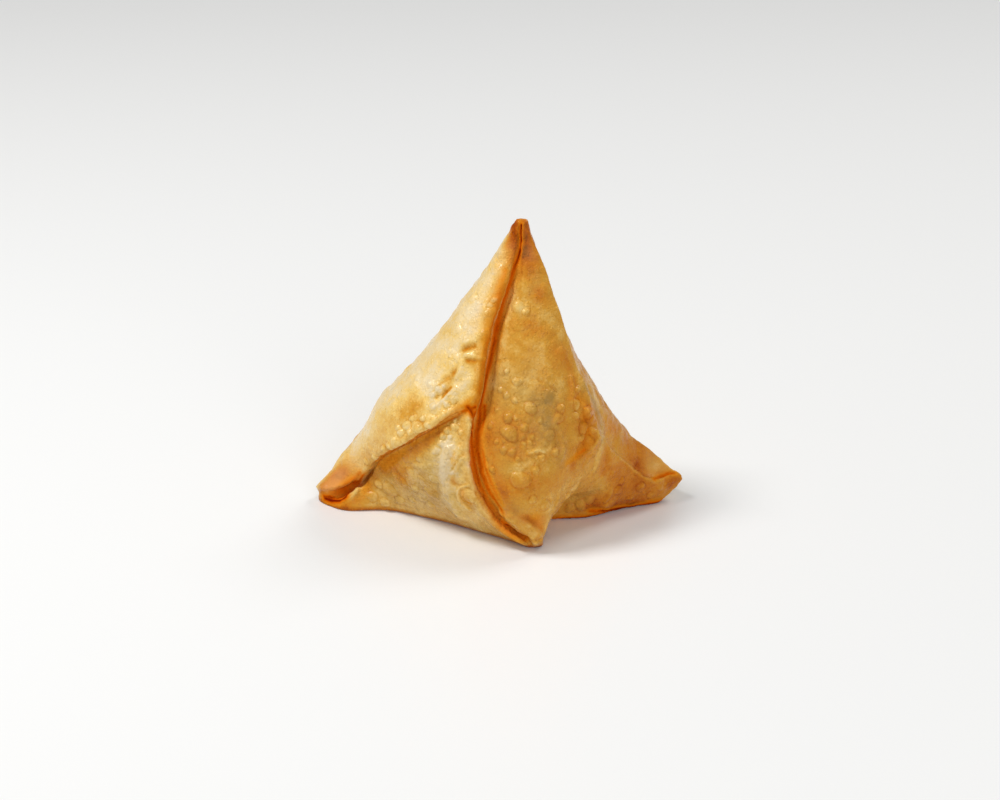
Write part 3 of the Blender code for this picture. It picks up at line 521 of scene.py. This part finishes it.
# How baked, 0 cream to 1 dark brown, and how grey each panel is before its patches. Under the flap
# it goes this far right, and the panels run into each other over these rounds of smoothing.
PANELS = {
    "flap": (0.13, 0.0), "cheek": (0.31, 0.15), "front": (0.45, 0.14), "right": (0.48, 0.08),
    "back": (0.33, 0.08),
}
CHEEK_END = 12
PANEL_ROUNDS = 12
# Painted light and shade from the relief, partly also the bake's own change: where the crust stands
# this far out of the smoothed crust, its small tops are painted paler, as lit, and its small dips
# and wide hollows darker, as shade, by this much. Near the floor, below these heights, it is
# painted darker, as shade.
SMALL_ROUNDS, WIDE_ROUNDS = 3, 25
SMALL_TOPS, TOPS_PALER = (0.0, 0.08), 0.10
SMALL_DIPS, DIPS_DARKER = (0.0, 0.06), 0.10
WIDE_DIPS, WIDE_DARKER = (0.1, 0.6), 0.25
NEAR_FLOOR, LOW_EDGE_SHADE = (0.3, 2.0), 0.45
# The oil's orange with painted shade in wide dips, painted shade along the bottom of the right
# side where it meets the floor, and where the insides of the folds end.
OIL_AND_SHADE_DIPS, DIPS_OIL_AND_SHADE = (0.25, 0.7), 0.75
RIGHT_SIDE, UNDER_SIDE, RIGHT_BASE_SHADE = (10, 18), (0.3, 1.8), 0.97
DEPTH_END = (-0.02, 0.15)

# The crust's noises: scale, detail and roughness, and how far they swing the bake.
PATCHES, MOTTLES, GRAINS = (120.0, 4.0, 0.55), (420.0, 5.0, 0.6), (1700.0, 3.0, 0.6)
BAKE_SWINGS = (0.50, 0.34, 0.22)
# The shades from pale to dark: the bake's, then the oil's with painted shade in the folds, each
# with the value that it stands at.
BAKED_SHADES = {
    "cream": 0.0, "straw": 0.22, "golden": 0.43, "orange": 0.64, "brown": 0.84, "darkest": 1.0,
}
OIL_AND_SHADE_STOPS = {"amber": 0.35, "valley": 0.82, "deep": 0.98}
GREY_COVERS, OIL_AND_SHADE_COVERS = 1.8, 1.35
# The finest relief: bubbles by scale and size, the heights of each kind, and the bump they make.
BUBBLE_SCALE, BUBBLE_SIZE = 1100.0, 0.45
BUBBLE_HEIGHT, GRAIN_HEIGHT, MOTTLE_HEIGHT = 3.0, 0.9, 0.6
BUMP_STRENGTH, BUMP_DISTANCE = 0.7, 0.0003
# Gloss: the least roughness and how much more by the mottles, then the shine and the oil film on
# pale crust, each with how much they lose in the hollows and by the bake.
ROUGHNESS, MORE_ROUGH = 0.14, 0.35
SHINE, SHINE_LOST = 0.56, (1.1, 0.55)
FILM, FILM_LOST, FILM_ROUGHNESS = 0.28, (0.5, 0.24), 0.16

# The stage, in metres, and each light's name, place and size.
FLOOR_SIZE, FLOOR_ROUGHNESS = 8.0, 0.35
WHITE = (1.0, 1.0, 1.0, 1.0)
LIGHTS_AIM = Vector((0.0, 0.0, 0.03))
LIGHTS = (
    ("key_light", Vector((-0.50, 0.0, 0.80)), 0.25),
    ("fill_light", Vector((0.30, -0.85, 0.45)), 0.8),
    ("top_light", Vector((0.5, 0.35, 0.7)), 0.3),
)

# The crust's mesh as arrays, a tree that finds the nearest point, and the surface that rays meet.
Skin = namedtuple("Skin", "points normals edges tree surface")


def points_of(mesh):
    """The mesh's points, in millimetres."""
    flat = np.empty(len(mesh.vertices) * 3, np.float32)
    mesh.vertices.foreach_get("co", flat)
    return flat.reshape(-1, 3).astype(float) / MM


def normals_of(mesh):
    flat = np.empty(len(mesh.vertices) * 3, np.float32)
    mesh.vertex_normals.foreach_get("vector", flat)
    return flat.reshape(-1, 3).astype(float)


def edges_of(mesh):
    flat = np.empty(len(mesh.edges) * 2, np.int32)
    mesh.edges.foreach_get("vertices", flat)
    return flat.reshape(-1, 2)


def skin_of(mesh, tree, surface):
    return Skin(points_of(mesh), normals_of(mesh), edges_of(mesh), tree, surface)


def move_to(mesh, points):
    mesh.vertices.foreach_set("co", (points * MM).astype(np.float32).ravel())
    mesh.update()


def eased(low, high, values):
    """0 below low, 1 above high, and a smooth rise between."""
    t = np.clip((values - low) / (high - low), 0.0, 1.0)
    return t * t * (3 - 2 * t)


def seen_at(surface, across, down):
    """The place on the crust that is seen at a mark. A mark just off the outline slides inwards."""
    ahead = (CAMERA_AIM - CAMERA_PLACE).normalized()
    right = ahead.cross(Vector((0.0, 0.0, 1.0))).normalized()
    up = right.cross(ahead)
    for _ in range(MOST_SLIDES):
        aside = (across - PICTURE[0] / 2) * right - (down - PICTURE[1] / 2) * up
        place = surface.ray_cast(CAMERA_PLACE, ahead + aside * SENSOR / LENS / PICTURE[0])[0]
        if place is not None:
            return place / MM
        across += SLIDE * (MIDDLE[0] - across)
        down += SLIDE * (MIDDLE[1] - down)
    raise RuntimeError("a mark lies off the crust")


def cast(surface, marks, parts):
    """The marks' places on the crust, each with its two sizes, given in these parts of a whole."""
    return [
        (*seen_at(surface, across, down), first / parts[0], second / parts[1])
        for across, down, first, second in marks
    ]


def strokes_on(skin, strokes, adding=True):
    """The strokes' strength at each point: added up, each on its own side of the crust only, or the
    strongest one's on all sides."""
    points, normals = skin.points, skin.normals
    strength = np.zeros(len(points))
    for stroke in strokes:
        stroke = np.array(cast(skin.surface, stroke, MARK_PARTS))
        facing = sum(normals[skin.tree.find(Vector(place))[1]] for place in stroke[:, :3])
        facing = facing / np.linalg.norm(facing)
        margin = STROKE_END * stroke[:, 3].max()
        low, high = stroke[:, :3].min(axis=0) - margin, stroke[:, :3].max(axis=0) + margin
        close = np.flatnonzero(((points > low) & (points < high)).all(axis=1))
        if not len(close):
            continue
        found = np.zeros(len(close))
        for start, end in zip(stroke, np.concatenate([stroke[1:], stroke[-1:]])):
            along = end[:3] - start[:3]
            length = max(along @ along, 1e-9)
            share = np.clip((points[close] - start[:3]) @ along / length, 0.0, 1.0)
            away = np.linalg.norm(points[close] - start[:3] - share[:, None] * along, axis=1)
            reach = start[3] + share * (end[3] - start[3])
            amount = start[4] + share * (end[4] - start[4])
            found = np.maximum(found, amount * np.exp(-((away / reach) ** 2)))
        if adding:
            turned = (normals[close] @ facing + TURNED_AWAY) / (2 * TURNED_AWAY)
            strength[close] += found * np.clip(turned, 0.0, 1.0)
        else:
            strength[close] = np.maximum(strength[close], found)
    return strength


def waves(points, reach, seed):
    """Smooth noise, about -1 to 1, with waves about reach millimetres long."""
    shift = Vector([seed * step for step in NOISE_SHIFT])
    return np.array([noise.noise(Vector(p) / reach + shift) for p in points])


def turn_of(points):
    """Where each point is round the samosa: 0 left ridge, 1 fold, 2 seam, 3 right ridge, to 4."""
    z = points[:, 2]
    corners = []
    for line in (LEFT_RIDGE, FOLD, SEAM, RIGHT_RIDGE):
        line = np.array(line)
        corners.append([np.interp(z, line[:, 2], line[:, axis]) for axis in (0, 1)])
    corners = np.array(corners)
    middle = (corners[0] + corners[3]) * RIDGE_SHARE + (corners[1] + corners[2]) * FOLD_SHARE
    angles = np.arctan2(corners[:, 1] - middle[1], corners[:, 0] - middle[0])
    angle = np.arctan2(points[:, 1] - middle[1], points[:, 0] - middle[0])
    since = (angle - angles[0]) % (2 * np.pi)
    marks = (angles - angles[0]) % (2 * np.pi)
    marks = np.concatenate([marks, np.full((1, len(z)), 2 * np.pi)])
    turn = np.zeros(len(z))
    for side in range(4):
        low, high = marks[side], marks[side + 1]
        inside = (since >= low) & (since <= high)
        share = (since - low) / np.maximum(high - low, 1e-6)
        turn = np.where(inside, side + share, turn)
    return turn


def smoothed(values, edges, rounds):
    """The values averaged with those of the neighbouring points, round after round."""
    order = np.argsort(edges.ravel(), kind="stable")
    others = edges[:, ::-1].ravel()[order]
    counts = np.bincount(edges.ravel(), minlength=len(values))
    starts = np.concatenate([[0], np.cumsum(counts)[:-1]])
    counted = counts.reshape((-1,) + (1,) * (values.ndim - 1))
    for _ in range(rounds):
        values = (values + np.add.reduceat(values[others], starts, axis=0) / counted) / 2
    return values


def standing_out(points, normals, edges, rounds):
    """How far each point stands out of the crust after these rounds of smoothing."""
    return ((points - smoothed(points, edges, rounds)) * normals).sum(axis=1)


def tree_of(points):
    tree = kdtree.KDTree(len(points))
    for index, point in enumerate(points):
        tree.insert(point, index)
    tree.balance()
    return tree


def drawn_to(solid, points):
    """The points, drawn back to the solid where splitting its faces has rounded them off it."""
    nearest = np.array([solid.find_nearest(Vector(point))[0] for point in points])
    away = np.linalg.norm(nearest - points, axis=1)
    share = DRAWN_BACK * eased(*OFF_THE_SOLID, away)
    return points + (nearest - points) * share[:, None]


def softened(points, normals, edges):
    """The points, with the sharp clefts between the layers of pastry filled out and the sharp edges
    rounded."""
    rounded = smoothed(points, edges, SOFT_ROUNDS)
    bend = smoothed(((points - rounded) * normals).sum(axis=1), edges, BEND_ROUNDS)
    share = CLEFT_FILLED * eased(*CLEFT, -bend) + EDGE_ROUNDED * eased(*SHARP_EDGE, bend)
    return points + (rounded - points) * share[:, None]


def raise_blisters(skin, blisters, draw):
    """How far each point is lifted by the blisters: uneven domes with a faint groove round each."""
    domes = np.zeros(len(skin.points))
    grooves = np.zeros(len(skin.points))
    for x, y, z, radius, height in blisters:
        place, middle, _ = skin.tree.find(Vector((x, y, z)))
        felt = skin.tree.find_range(place, radius * BLISTER_END)
        found = np.array([index for _, index, _ in felt])
        facing = skin.normals[middle]
        found = found[skin.normals[found] @ facing > BLISTER_FACING]
        across = np.cross(facing, (0.0, 0.0, 1.0) if abs(facing[2]) < 0.9 else (1.0, 0.0, 0.0))
        across /= np.linalg.norm(across)
        along = np.cross(facing, across)
        angle, lobe = draw.random() * np.pi, draw.random() * FULL_TURN
        stretch = 1.0 + STRETCHED * draw.random()
        away = skin.points[found] - np.array(place)
        first, second = away @ across, away @ along
        u = (first * np.cos(angle) + second * np.sin(angle)) / stretch
        v = second * np.cos(angle) - first * np.sin(angle)
        outline = 1.0 + LOBE_DEPTH * np.sin(LOBES * np.arctan2(v, u) + lobe)
        share = np.hypot(u, v) / radius / outline
        shape = WIDE_DOME if radius > WIDE_BLISTER else SMALL_DOME
        dome = height * np.clip(1.0 - share**2, 0.0, 1.0) ** shape
        domes[found] = np.maximum(domes[found], dome)
        groove = GROOVE_DEPTH * height * np.exp(-(((share - GROOVE_PLACE) / GROOVE_WIDTH) ** 2))
        grooves[found] = np.maximum(grooves[found], groove)
    return domes - grooves * np.exp(-((domes / GROOVE_END) ** 2))


def small_blister(place, draw, radii, rarity, heights):
    radius = radii[0] + radii[1] * draw.random() ** rarity
    return (*place, radius, radius * (heights[0] + heights[1] * draw.random()))


def cluster_blisters(points, draw):
    """Small blisters in the clusters, closest together in the middle of each."""
    made = []
    for x, y, z, reach, count, smallest, largest in CLUSTERS:
        away = np.linalg.norm(points - (x, y, z), axis=1)
        near = np.flatnonzero(away < reach)
        weight = np.exp(-((away[near] / (CLUSTER_GATHERED * reach)) ** 2))
        radii = (smallest, largest - smallest)
        for index in draw.choice(near, size=count, replace=False, p=weight / weight.sum()):
            made.append(small_blister(points[index], draw, radii, CLUSTER_RARITY, CLUSTER_HEIGHT))
    return made


def loose_blisters(points, edges, draw, count):
    """Blisters all over, most of them small and low."""
    lengths = np.linalg.norm(points[edges[:, 0]] - points[edges[:, 1]], axis=1)
    weight = np.bincount(edges.ravel(), np.repeat(lengths, 2), len(points)) ** 2
    return [
        small_blister(points[index], draw, LOOSE_RADIUS, LOOSE_RARITY, LOOSE_HEIGHT)
        for index in draw.choice(len(points), size=count, replace=False, p=weight / weight.sum())
    ]


def relief_of(skin, settings):
    """How far each point of the crust is lifted, in millimetres."""
    points = skin.points
    draw = np.random.default_rng(DRAW_SEED)
    seen = FRONT_BLISTERS + FLAP_BLISTERS + CHEEK_BLISTERS + SIDE_BLISTERS
    blisters = cast(skin.surface, seen, BLISTER_PARTS)
    blisters += cluster_blisters(points, draw)
    blisters += loose_blisters(points, skin.edges, draw, settings.loose_blisters)
    lift = raise_blisters(skin, blisters, draw)
    lift += strokes_on(skin, RAISED) * (1 + RIDGES_VARY * waves(points, *RIDGE_WAVES))
    lift -= strokes_on(skin, LOWERED)
    lift += settings.unevenness / MM * waves(points, *LONG_WAVES)
    lift += SHORT_AMOUNT * settings.unevenness / MM * waves(points, *SHORT_WAVES)
    return lift * eased(*FLAT_FOOT, points[:, 2])


def shade(name, description, *amounts):
    return FloatVectorProperty(
        name=name, description=description, subtype="COLOR", size=4, default=(*amounts, 1.0)
    )


class CrustSettings(bpy.types.PropertyGroup):
    fineness: IntProperty(
        name="Fineness", description="How often the solid is split finer", default=2, min=0, max=3
    )
    face_size: FloatProperty(
        name="Face size", description="Side of the even faces that the relief is raised on",
        default=0.0003, unit="LENGTH",
    )
    most_triangles: IntProperty(
        name="Most triangles", default=190000,
        description="What the relief is thinned out to, where the crust is smooth",
    )
    crispness: FloatProperty(
        name="Crispness", description="How sharp the folded edges stay", default=0.7, min=0, max=1
    )
    unevenness: FloatProperty(
        name="Unevenness", description="Height of the low waves in the pastry", default=0.00018,
        unit="LENGTH",
    )
    loose_blisters: IntProperty(
        name="Loose blisters", description="How many small blisters lie all over", default=2200
    )
    cream: shade("Cream", "Palest pastry", 0.83, 0.67, 0.41)
    straw: shade("Straw", "Pale pastry", 0.82, 0.545, 0.165)
    golden: shade("Golden", "Lightly baked pastry", 0.65, 0.31, 0.036)
    orange: shade("Orange", "Well baked pastry", 0.58, 0.19, 0.010)
    brown: shade("Brown", "Browned edges", 0.40, 0.078, 0.003)
    darkest: shade("Darkest", "The most browned specks", 0.15, 0.022, 0.002)
    grey: shade("Grey", "Thin pastry with the filling behind it", 0.39, 0.225, 0.055)
    rosy: shade("Rosy", "Pinkish pastry", 0.74, 0.33, 0.10)
    # Amber is the oil's orange beside the folds; the valley shade is that orange darkened by
    # painted shade in the folds, and the deep shade is painted shade in the slits.
    amber: shade("Amber", "Oily pastry beside the folds", 0.76, 0.255, 0.011)
    valley: shade("Valley", "Oily pastry in the folds", 0.62, 0.115, 0.001)
    deep: shade("Deep", "The depth of the slits", 0.19, 0.009, 0.001)


class StageSettings(bpy.types.PropertyGroup):
    floor_colour: shade("Floor", "Colour of the floor", 0.84, 0.84, 0.83)
    key_light: FloatProperty(
        name="Key light", description="Power of the light at the left", default=6.0, unit="POWER"
    )
    fill_light: FloatProperty(
        name="Fill light", description="Power of the light at the right", default=3.9, unit="POWER"
    )
    top_light: FloatProperty(
        name="Top light", description="Power of the light behind", default=2.5, unit="POWER"
    )
    sky: FloatProperty(name="Sky", description="Strength of the white surroundings", default=0.27)


def paint(mesh, name, values):
    attribute = mesh.attributes.new(name, "FLOAT", "POINT")
    attribute.data.foreach_set("value", np.clip(values, 0.0, 1.0).astype(np.float32))


def paint_crust(mesh, skin):
    """Stores how baked, grey, rosy and hollow each point of the crust is, with painted light and
    shade in the bake and painted shade in the hollows.
    """
    points, normals, edges = skin.points, skin.normals, skin.edges
    across, height = points[:, 0], points[:, 2]
    turn = turn_of(points)
    small = standing_out(points, normals, edges, SMALL_ROUNDS)
    wide = standing_out(points, normals, edges, WIDE_ROUNDS)
    edge = np.array(FLAP_EDGE)
    edge_height = np.interp(across, edge[:, 0], edge[:, 2])
    cheek = (turn <= 1.0) & (height < edge_height) & (across < CHEEK_END)
    panels = {
        "flap": (turn <= 1.0) & ~cheek,
        "cheek": cheek,
        "front": (turn > 1.0) & (turn <= 2.0),
        "right": (turn > 2.0) & (turn <= 3.0),
        "back": turn > 3.0,
    }
    baked, grey = smoothed(
        sum(np.outer(inside, PANELS[name]) for name, inside in panels.items()), edges, PANEL_ROUNDS
    ).T
    # Browning, with painted shade under the flap's lower edge, in the crease above the front foot's
    # lip and along the floor; then paler pastry, with painted highlights on lips and ridges.
    baked += strokes_on(skin, BROWNED_AND_SHADED)
    baked -= strokes_on(skin, PALED_AND_HIGHLIT)
    # Painted light on the relief's tops, and painted shade in its dips and hollows and near the
    # floor.
    baked -= TOPS_PALER * eased(*SMALL_TOPS, small)
    baked += DIPS_DARKER * eased(*SMALL_DIPS, -small)
    baked += WIDE_DARKER * eased(*WIDE_DIPS, -wide)
    baked += LOW_EDGE_SHADE * (1 - eased(*NEAR_FLOOR, height))
    # The oil's orange with painted shade in the folds and slits, and painted shade where the right
    # side meets the floor.
    hollow = strokes_on(skin, HOLLOWS, adding=False)
    for more in (
        DIPS_OIL_AND_SHADE * eased(*OIL_AND_SHADE_DIPS, -wide),
        RIGHT_BASE_SHADE * eased(*RIGHT_SIDE, across) * (1 - eased(*UNDER_SIDE, height)),
        (1 - eased(*DEPTH_END, wide)) * strokes_on(skin, DEPTHS, adding=False),
    ):
        hollow = np.maximum(hollow, more)
    paint(mesh, "baked", baked)
    paint(mesh, "grey", grey + strokes_on(skin, GREYED))
    paint(mesh, "rosy", strokes_on(skin, ROSY))
    paint(mesh, "hollow", hollow)


def put(tree, socket, value):
    """Sets the socket to the value, or links it where the value is another node's output."""
    if isinstance(value, bpy.types.NodeSocket):
        tree.links.new(value, socket)
    else:
        socket.default_value = value


def add_node(tree, kind, **inputs):
    node = tree.nodes.new(kind)
    for name, value in inputs.items():
        put(tree, node.inputs[name], value)
    return node


def read_attribute(tree, name):
    node = tree.nodes.new("ShaderNodeAttribute")
    node.attribute_name = name
    return node.outputs["Fac"]


def noise_of(tree, place, scale, detail, roughness):
    sizes = {"Scale": scale, "Detail": detail, "Roughness": roughness}
    return add_node(tree, "ShaderNodeTexNoise", Vector=place, **sizes).outputs["Fac"]


def math_of(tree, operation, *values, clamp=False):
    node = tree.nodes.new("ShaderNodeMath")
    node.operation = operation
    node.use_clamp = clamp
    for socket, value in zip(node.inputs, values):
        put(tree, socket, value)
    return node.outputs[0]


def weighed(tree, total, *terms, clamp=False):
    """The total, with each term's value added by its weight."""
    for value, weight in terms:
        total = math_of(tree, "MULTIPLY_ADD", value, weight, total)
    total.node.use_clamp = clamp
    return total


def mixed_colour(tree, factor, first, second):
    node = tree.nodes.new("ShaderNodeMix")
    node.data_type = "RGBA"
    node.clamp_factor = True
    for number, value in ((0, factor), (6, first), (7, second)):
        put(tree, node.inputs[number], value)
    return node.outputs[2]


def shade_of(tree, value, shades, settings):
    """The colour that the value picks from the shades, in order."""
    ramp = add_node(tree, "ShaderNodeValToRGB", Fac=value)
    made = ramp.color_ramp.elements
    stops = [(position, getattr(settings, name)) for name, position in shades.items()]
    made[0].position, made[0].color = stops[0]
    made[1].position, made[1].color = stops[-1]
    for position, colour in stops[1:-1]:
        made.new(position).color = colour
    return ramp.outputs["Color"]


def crust_material(settings):
    material = bpy.data.materials.new("crust")
    material.use_nodes = True
    tree = material.node_tree
    place = tree.nodes.new("ShaderNodeTexCoord").outputs["Object"]
    noises = [noise_of(tree, place, *sizes) for sizes in (PATCHES, MOTTLES, GRAINS)]
    _, mottles, grains = noises
    grey, rosy, hollow, baked = (
        read_attribute(tree, name) for name in ("grey", "rosy", "hollow", "baked")
    )
    baked = weighed(tree, baked, *zip(noises, BAKE_SWINGS))
    baked = math_of(tree, "SUBTRACT", baked, sum(BAKE_SWINGS) / 2)

    uneven_grey = math_of(tree, "MULTIPLY", grey, math_of(tree, "MULTIPLY", mottles, GREY_COVERS))
    colour = shade_of(tree, baked, BAKED_SHADES, settings)
    colour = mixed_colour(tree, uneven_grey, colour, settings.grey)
    colour = mixed_colour(tree, rosy, colour, settings.rosy)
    # The oil's orange, darkened as painted shade in the folds and slits.
    oil_and_shade = shade_of(tree, hollow, OIL_AND_SHADE_STOPS, settings)
    colour = mixed_colour(tree, math_of(tree, "MULTIPLY", hollow, OIL_AND_SHADE_COVERS), colour, oil_and_shade)

    bubbles = add_node(tree, "ShaderNodeTexVoronoi", Vector=place, Scale=BUBBLE_SCALE)
    dome = math_of(tree, "SUBTRACT", BUBBLE_SIZE, bubbles.outputs["Distance"], clamp=True)
    uneven = math_of(tree, "MULTIPLY", dome, mottles)
    heights = (uneven, BUBBLE_HEIGHT), (grains, GRAIN_HEIGHT), (mottles, MOTTLE_HEIGHT)
    bump = add_node(
        tree, "ShaderNodeBump", Strength=BUMP_STRENGTH, Distance=BUMP_DISTANCE,
        Height=weighed(tree, 0.0, *heights),
    )
    shine, film = (
        weighed(tree, most, (hollow, -in_hollows), (baked, -by_bake), clamp=True)
        for most, (in_hollows, by_bake) in ((SHINE, SHINE_LOST), (FILM, FILM_LOST))
    )
    shader = tree.nodes["Principled BSDF"]
    for name, value in {
        "Base Color": colour,
        "Specular Tint": colour,
        "Normal": bump.outputs["Normal"],
        "Roughness": weighed(tree, ROUGHNESS, (mottles, MORE_ROUGH)),
        "Specular IOR Level": shine,
        "Coat Weight": film,
        "Coat Roughness": FILM_ROUGHNESS,
    }.items():
        put(tree, shader.inputs[name], value)
    return material


def shape_with(piece, kind, **sizes):
    """Puts a modifier of these sizes on the piece, and applies it."""
    bpy.ops.object.modifier_add(type=kind)
    modifier = piece.modifiers[-1]
    for name, value in sizes.items():
        setattr(modifier, name, value)
    bpy.ops.object.modifier_apply(modifier=modifier.name)


def make_fine(crust, settings):
    """Joins the solid's loose triangles, keeps its folded edges crisp and splits its faces."""
    bpy.ops.object.mode_set(mode="EDIT")
    bpy.ops.mesh.select_all(action="SELECT")
    bpy.ops.mesh.remove_doubles(threshold=JOINED_WITHIN)
    bpy.ops.mesh.tris_convert_to_quads(face_threshold=ANY_ANGLE, shape_threshold=ANY_ANGLE)
    bpy.ops.mesh.select_all(action="DESELECT")
    bpy.ops.mesh.select_mode(type="EDGE")
    bpy.ops.mesh.edges_select_sharp(sharpness=FOLDED_ANGLE)
    bpy.ops.transform.edge_crease(value=settings.crispness)
    bpy.ops.object.mode_set(mode="OBJECT")
    shape_with(crust, "SUBSURF", levels=settings.fineness, render_levels=settings.fineness)
    shape_with(crust, "REMESH", mode="VOXEL", voxel_size=settings.face_size)
    bpy.ops.object.shade_smooth()


def thin_out(crust, settings):
    """Takes points away where the relief is smooth, and keeps the crust inside the solid's box."""
    triangles = sum(len(face.vertices) - 2 for face in crust.data.polygons)
    shape_with(crust, "DECIMATE", ratio=min(1.0, settings.most_triangles / triangles))
    low, high = (np.array(corner) / MM for corner in SOLID_BOX)
    move_to(crust.data, np.clip(points_of(crust.data), low, high))
    bpy.ops.object.shade_smooth()


class SAMOSA_OT_crust(bpy.types.Operator):
    """Makes the crust from the solid's surface, with its blisters and its baking"""

    bl_idname = "samosa.crust"
    bl_label = "Crust"

    def execute(self, context):
        settings = context.scene.samosa_crust
        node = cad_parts["samosa"]
        bpy.ops.object.select_all(action="DESELECT")
        crust = node.copy()
        crust.data = node.data.copy()
        crust.name = "crust"
        crust.parent = None
        for key in list(crust.keys()):
            del crust[key]
        context.scene.collection.objects.link(crust)
        context.view_layer.objects.active = crust
        crust.select_set(True)
        make_fine(crust, settings)

        mesh = crust.data
        solid = BVHTree.FromPolygons(
            [vertex.co * TO_MM for vertex in node.data.vertices],
            [tuple(face.vertices) for face in node.data.polygons],
        )
        move_to(mesh, drawn_to(solid, points_of(mesh)))
        move_to(mesh, softened(points_of(mesh), normals_of(mesh), edges_of(mesh)))
        tree = tree_of(points_of(mesh))
        surface = BVHTree.FromObject(crust, context.evaluated_depsgraph_get())
        skin = skin_of(mesh, tree, surface)
        lift = relief_of(skin, settings)
        move_to(mesh, skin.points + skin.normals * lift[:, None])
        paint_crust(mesh, skin_of(mesh, tree, surface))
        thin_out(crust, settings)
        mesh.materials.clear()
        mesh.materials.append(crust_material(settings))
        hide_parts("samosa")
        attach(crust, "root")
        return {"FINISHED"}


def turned_to(place, aim):
    """The turn that points a light or the camera at its aim."""
    return (aim - place).to_track_quat("-Z", "Y").to_euler()


class SAMOSA_OT_stage(bpy.types.Operator):
    """Lays the pale floor and sets the lights and the camera"""

    bl_idname = "samosa.stage"
    bl_label = "Stage"

    def execute(self, context):
        settings = context.scene.samosa_stage
        bpy.ops.object.select_all(action="DESELECT")
        bpy.ops.mesh.primitive_plane_add(size=FLOOR_SIZE, location=(0.0, 0.0, 0.0))
        floor = context.object
        floor.name = "floor"
        material = bpy.data.materials.new("floor")
        material.use_nodes = True
        shader = material.node_tree.nodes["Principled BSDF"]
        shader.inputs["Base Color"].default_value = settings.floor_colour
        shader.inputs["Roughness"].default_value = FLOOR_ROUGHNESS
        floor.data.materials.append(material)

        for name, place, size in LIGHTS:
            bpy.ops.object.light_add(type="AREA", location=place)
            light = context.object
            light.name = name
            light.data.size = size
            light.data.energy = getattr(settings, name)
            light.rotation_euler = turned_to(place, LIGHTS_AIM)

        world = bpy.data.worlds.new("white_surroundings")
        context.scene.world = world
        world.use_nodes = True
        background = world.node_tree.nodes["Background"]
        background.inputs["Color"].default_value = WHITE
        background.inputs["Strength"].default_value = settings.sky

        bpy.ops.object.camera_add(location=CAMERA_PLACE)
        camera = context.object
        camera.name = "camera"
        camera.data.lens = LENS
        camera.data.sensor_width = SENSOR
        camera.rotation_euler = turned_to(CAMERA_PLACE, CAMERA_AIM)
        context.scene.camera = camera
        context.scene.view_settings.view_transform = "Standard"
        return {"FINISHED"}


class SAMOSA_PT_panel(bpy.types.Panel):
    bl_idname = "SAMOSA_PT_panel"
    bl_label = "Baked samosa"
    bl_space_type = "VIEW_3D"
    bl_region_type = "UI"
    bl_category = "Samosa"

    def draw(self, context):
        for settings, operator in (
            (context.scene.samosa_crust, "samosa.crust"),
            (context.scene.samosa_stage, "samosa.stage"),
        ):
            box = self.layout.box()
            box.operator(operator)
            for name in settings.__annotations__:
                box.prop(settings, name)


CLASSES = (CrustSettings, StageSettings, SAMOSA_OT_crust, SAMOSA_OT_stage, SAMOSA_PT_panel)


def register():
    for made in CLASSES:
        bpy.utils.register_class(made)
    bpy.types.Scene.samosa_crust = PointerProperty(type=CrustSettings)
    bpy.types.Scene.samosa_stage = PointerProperty(type=StageSettings)


def unregister():
    del bpy.types.Scene.samosa_stage
    del bpy.types.Scene.samosa_crust
    for made in reversed(CLASSES):
        bpy.utils.unregister_class(made)


def main():
    register()
    bpy.ops.samosa.stage()
    bpy.ops.samosa.crust()


if __name__ == "__main__":
    main()
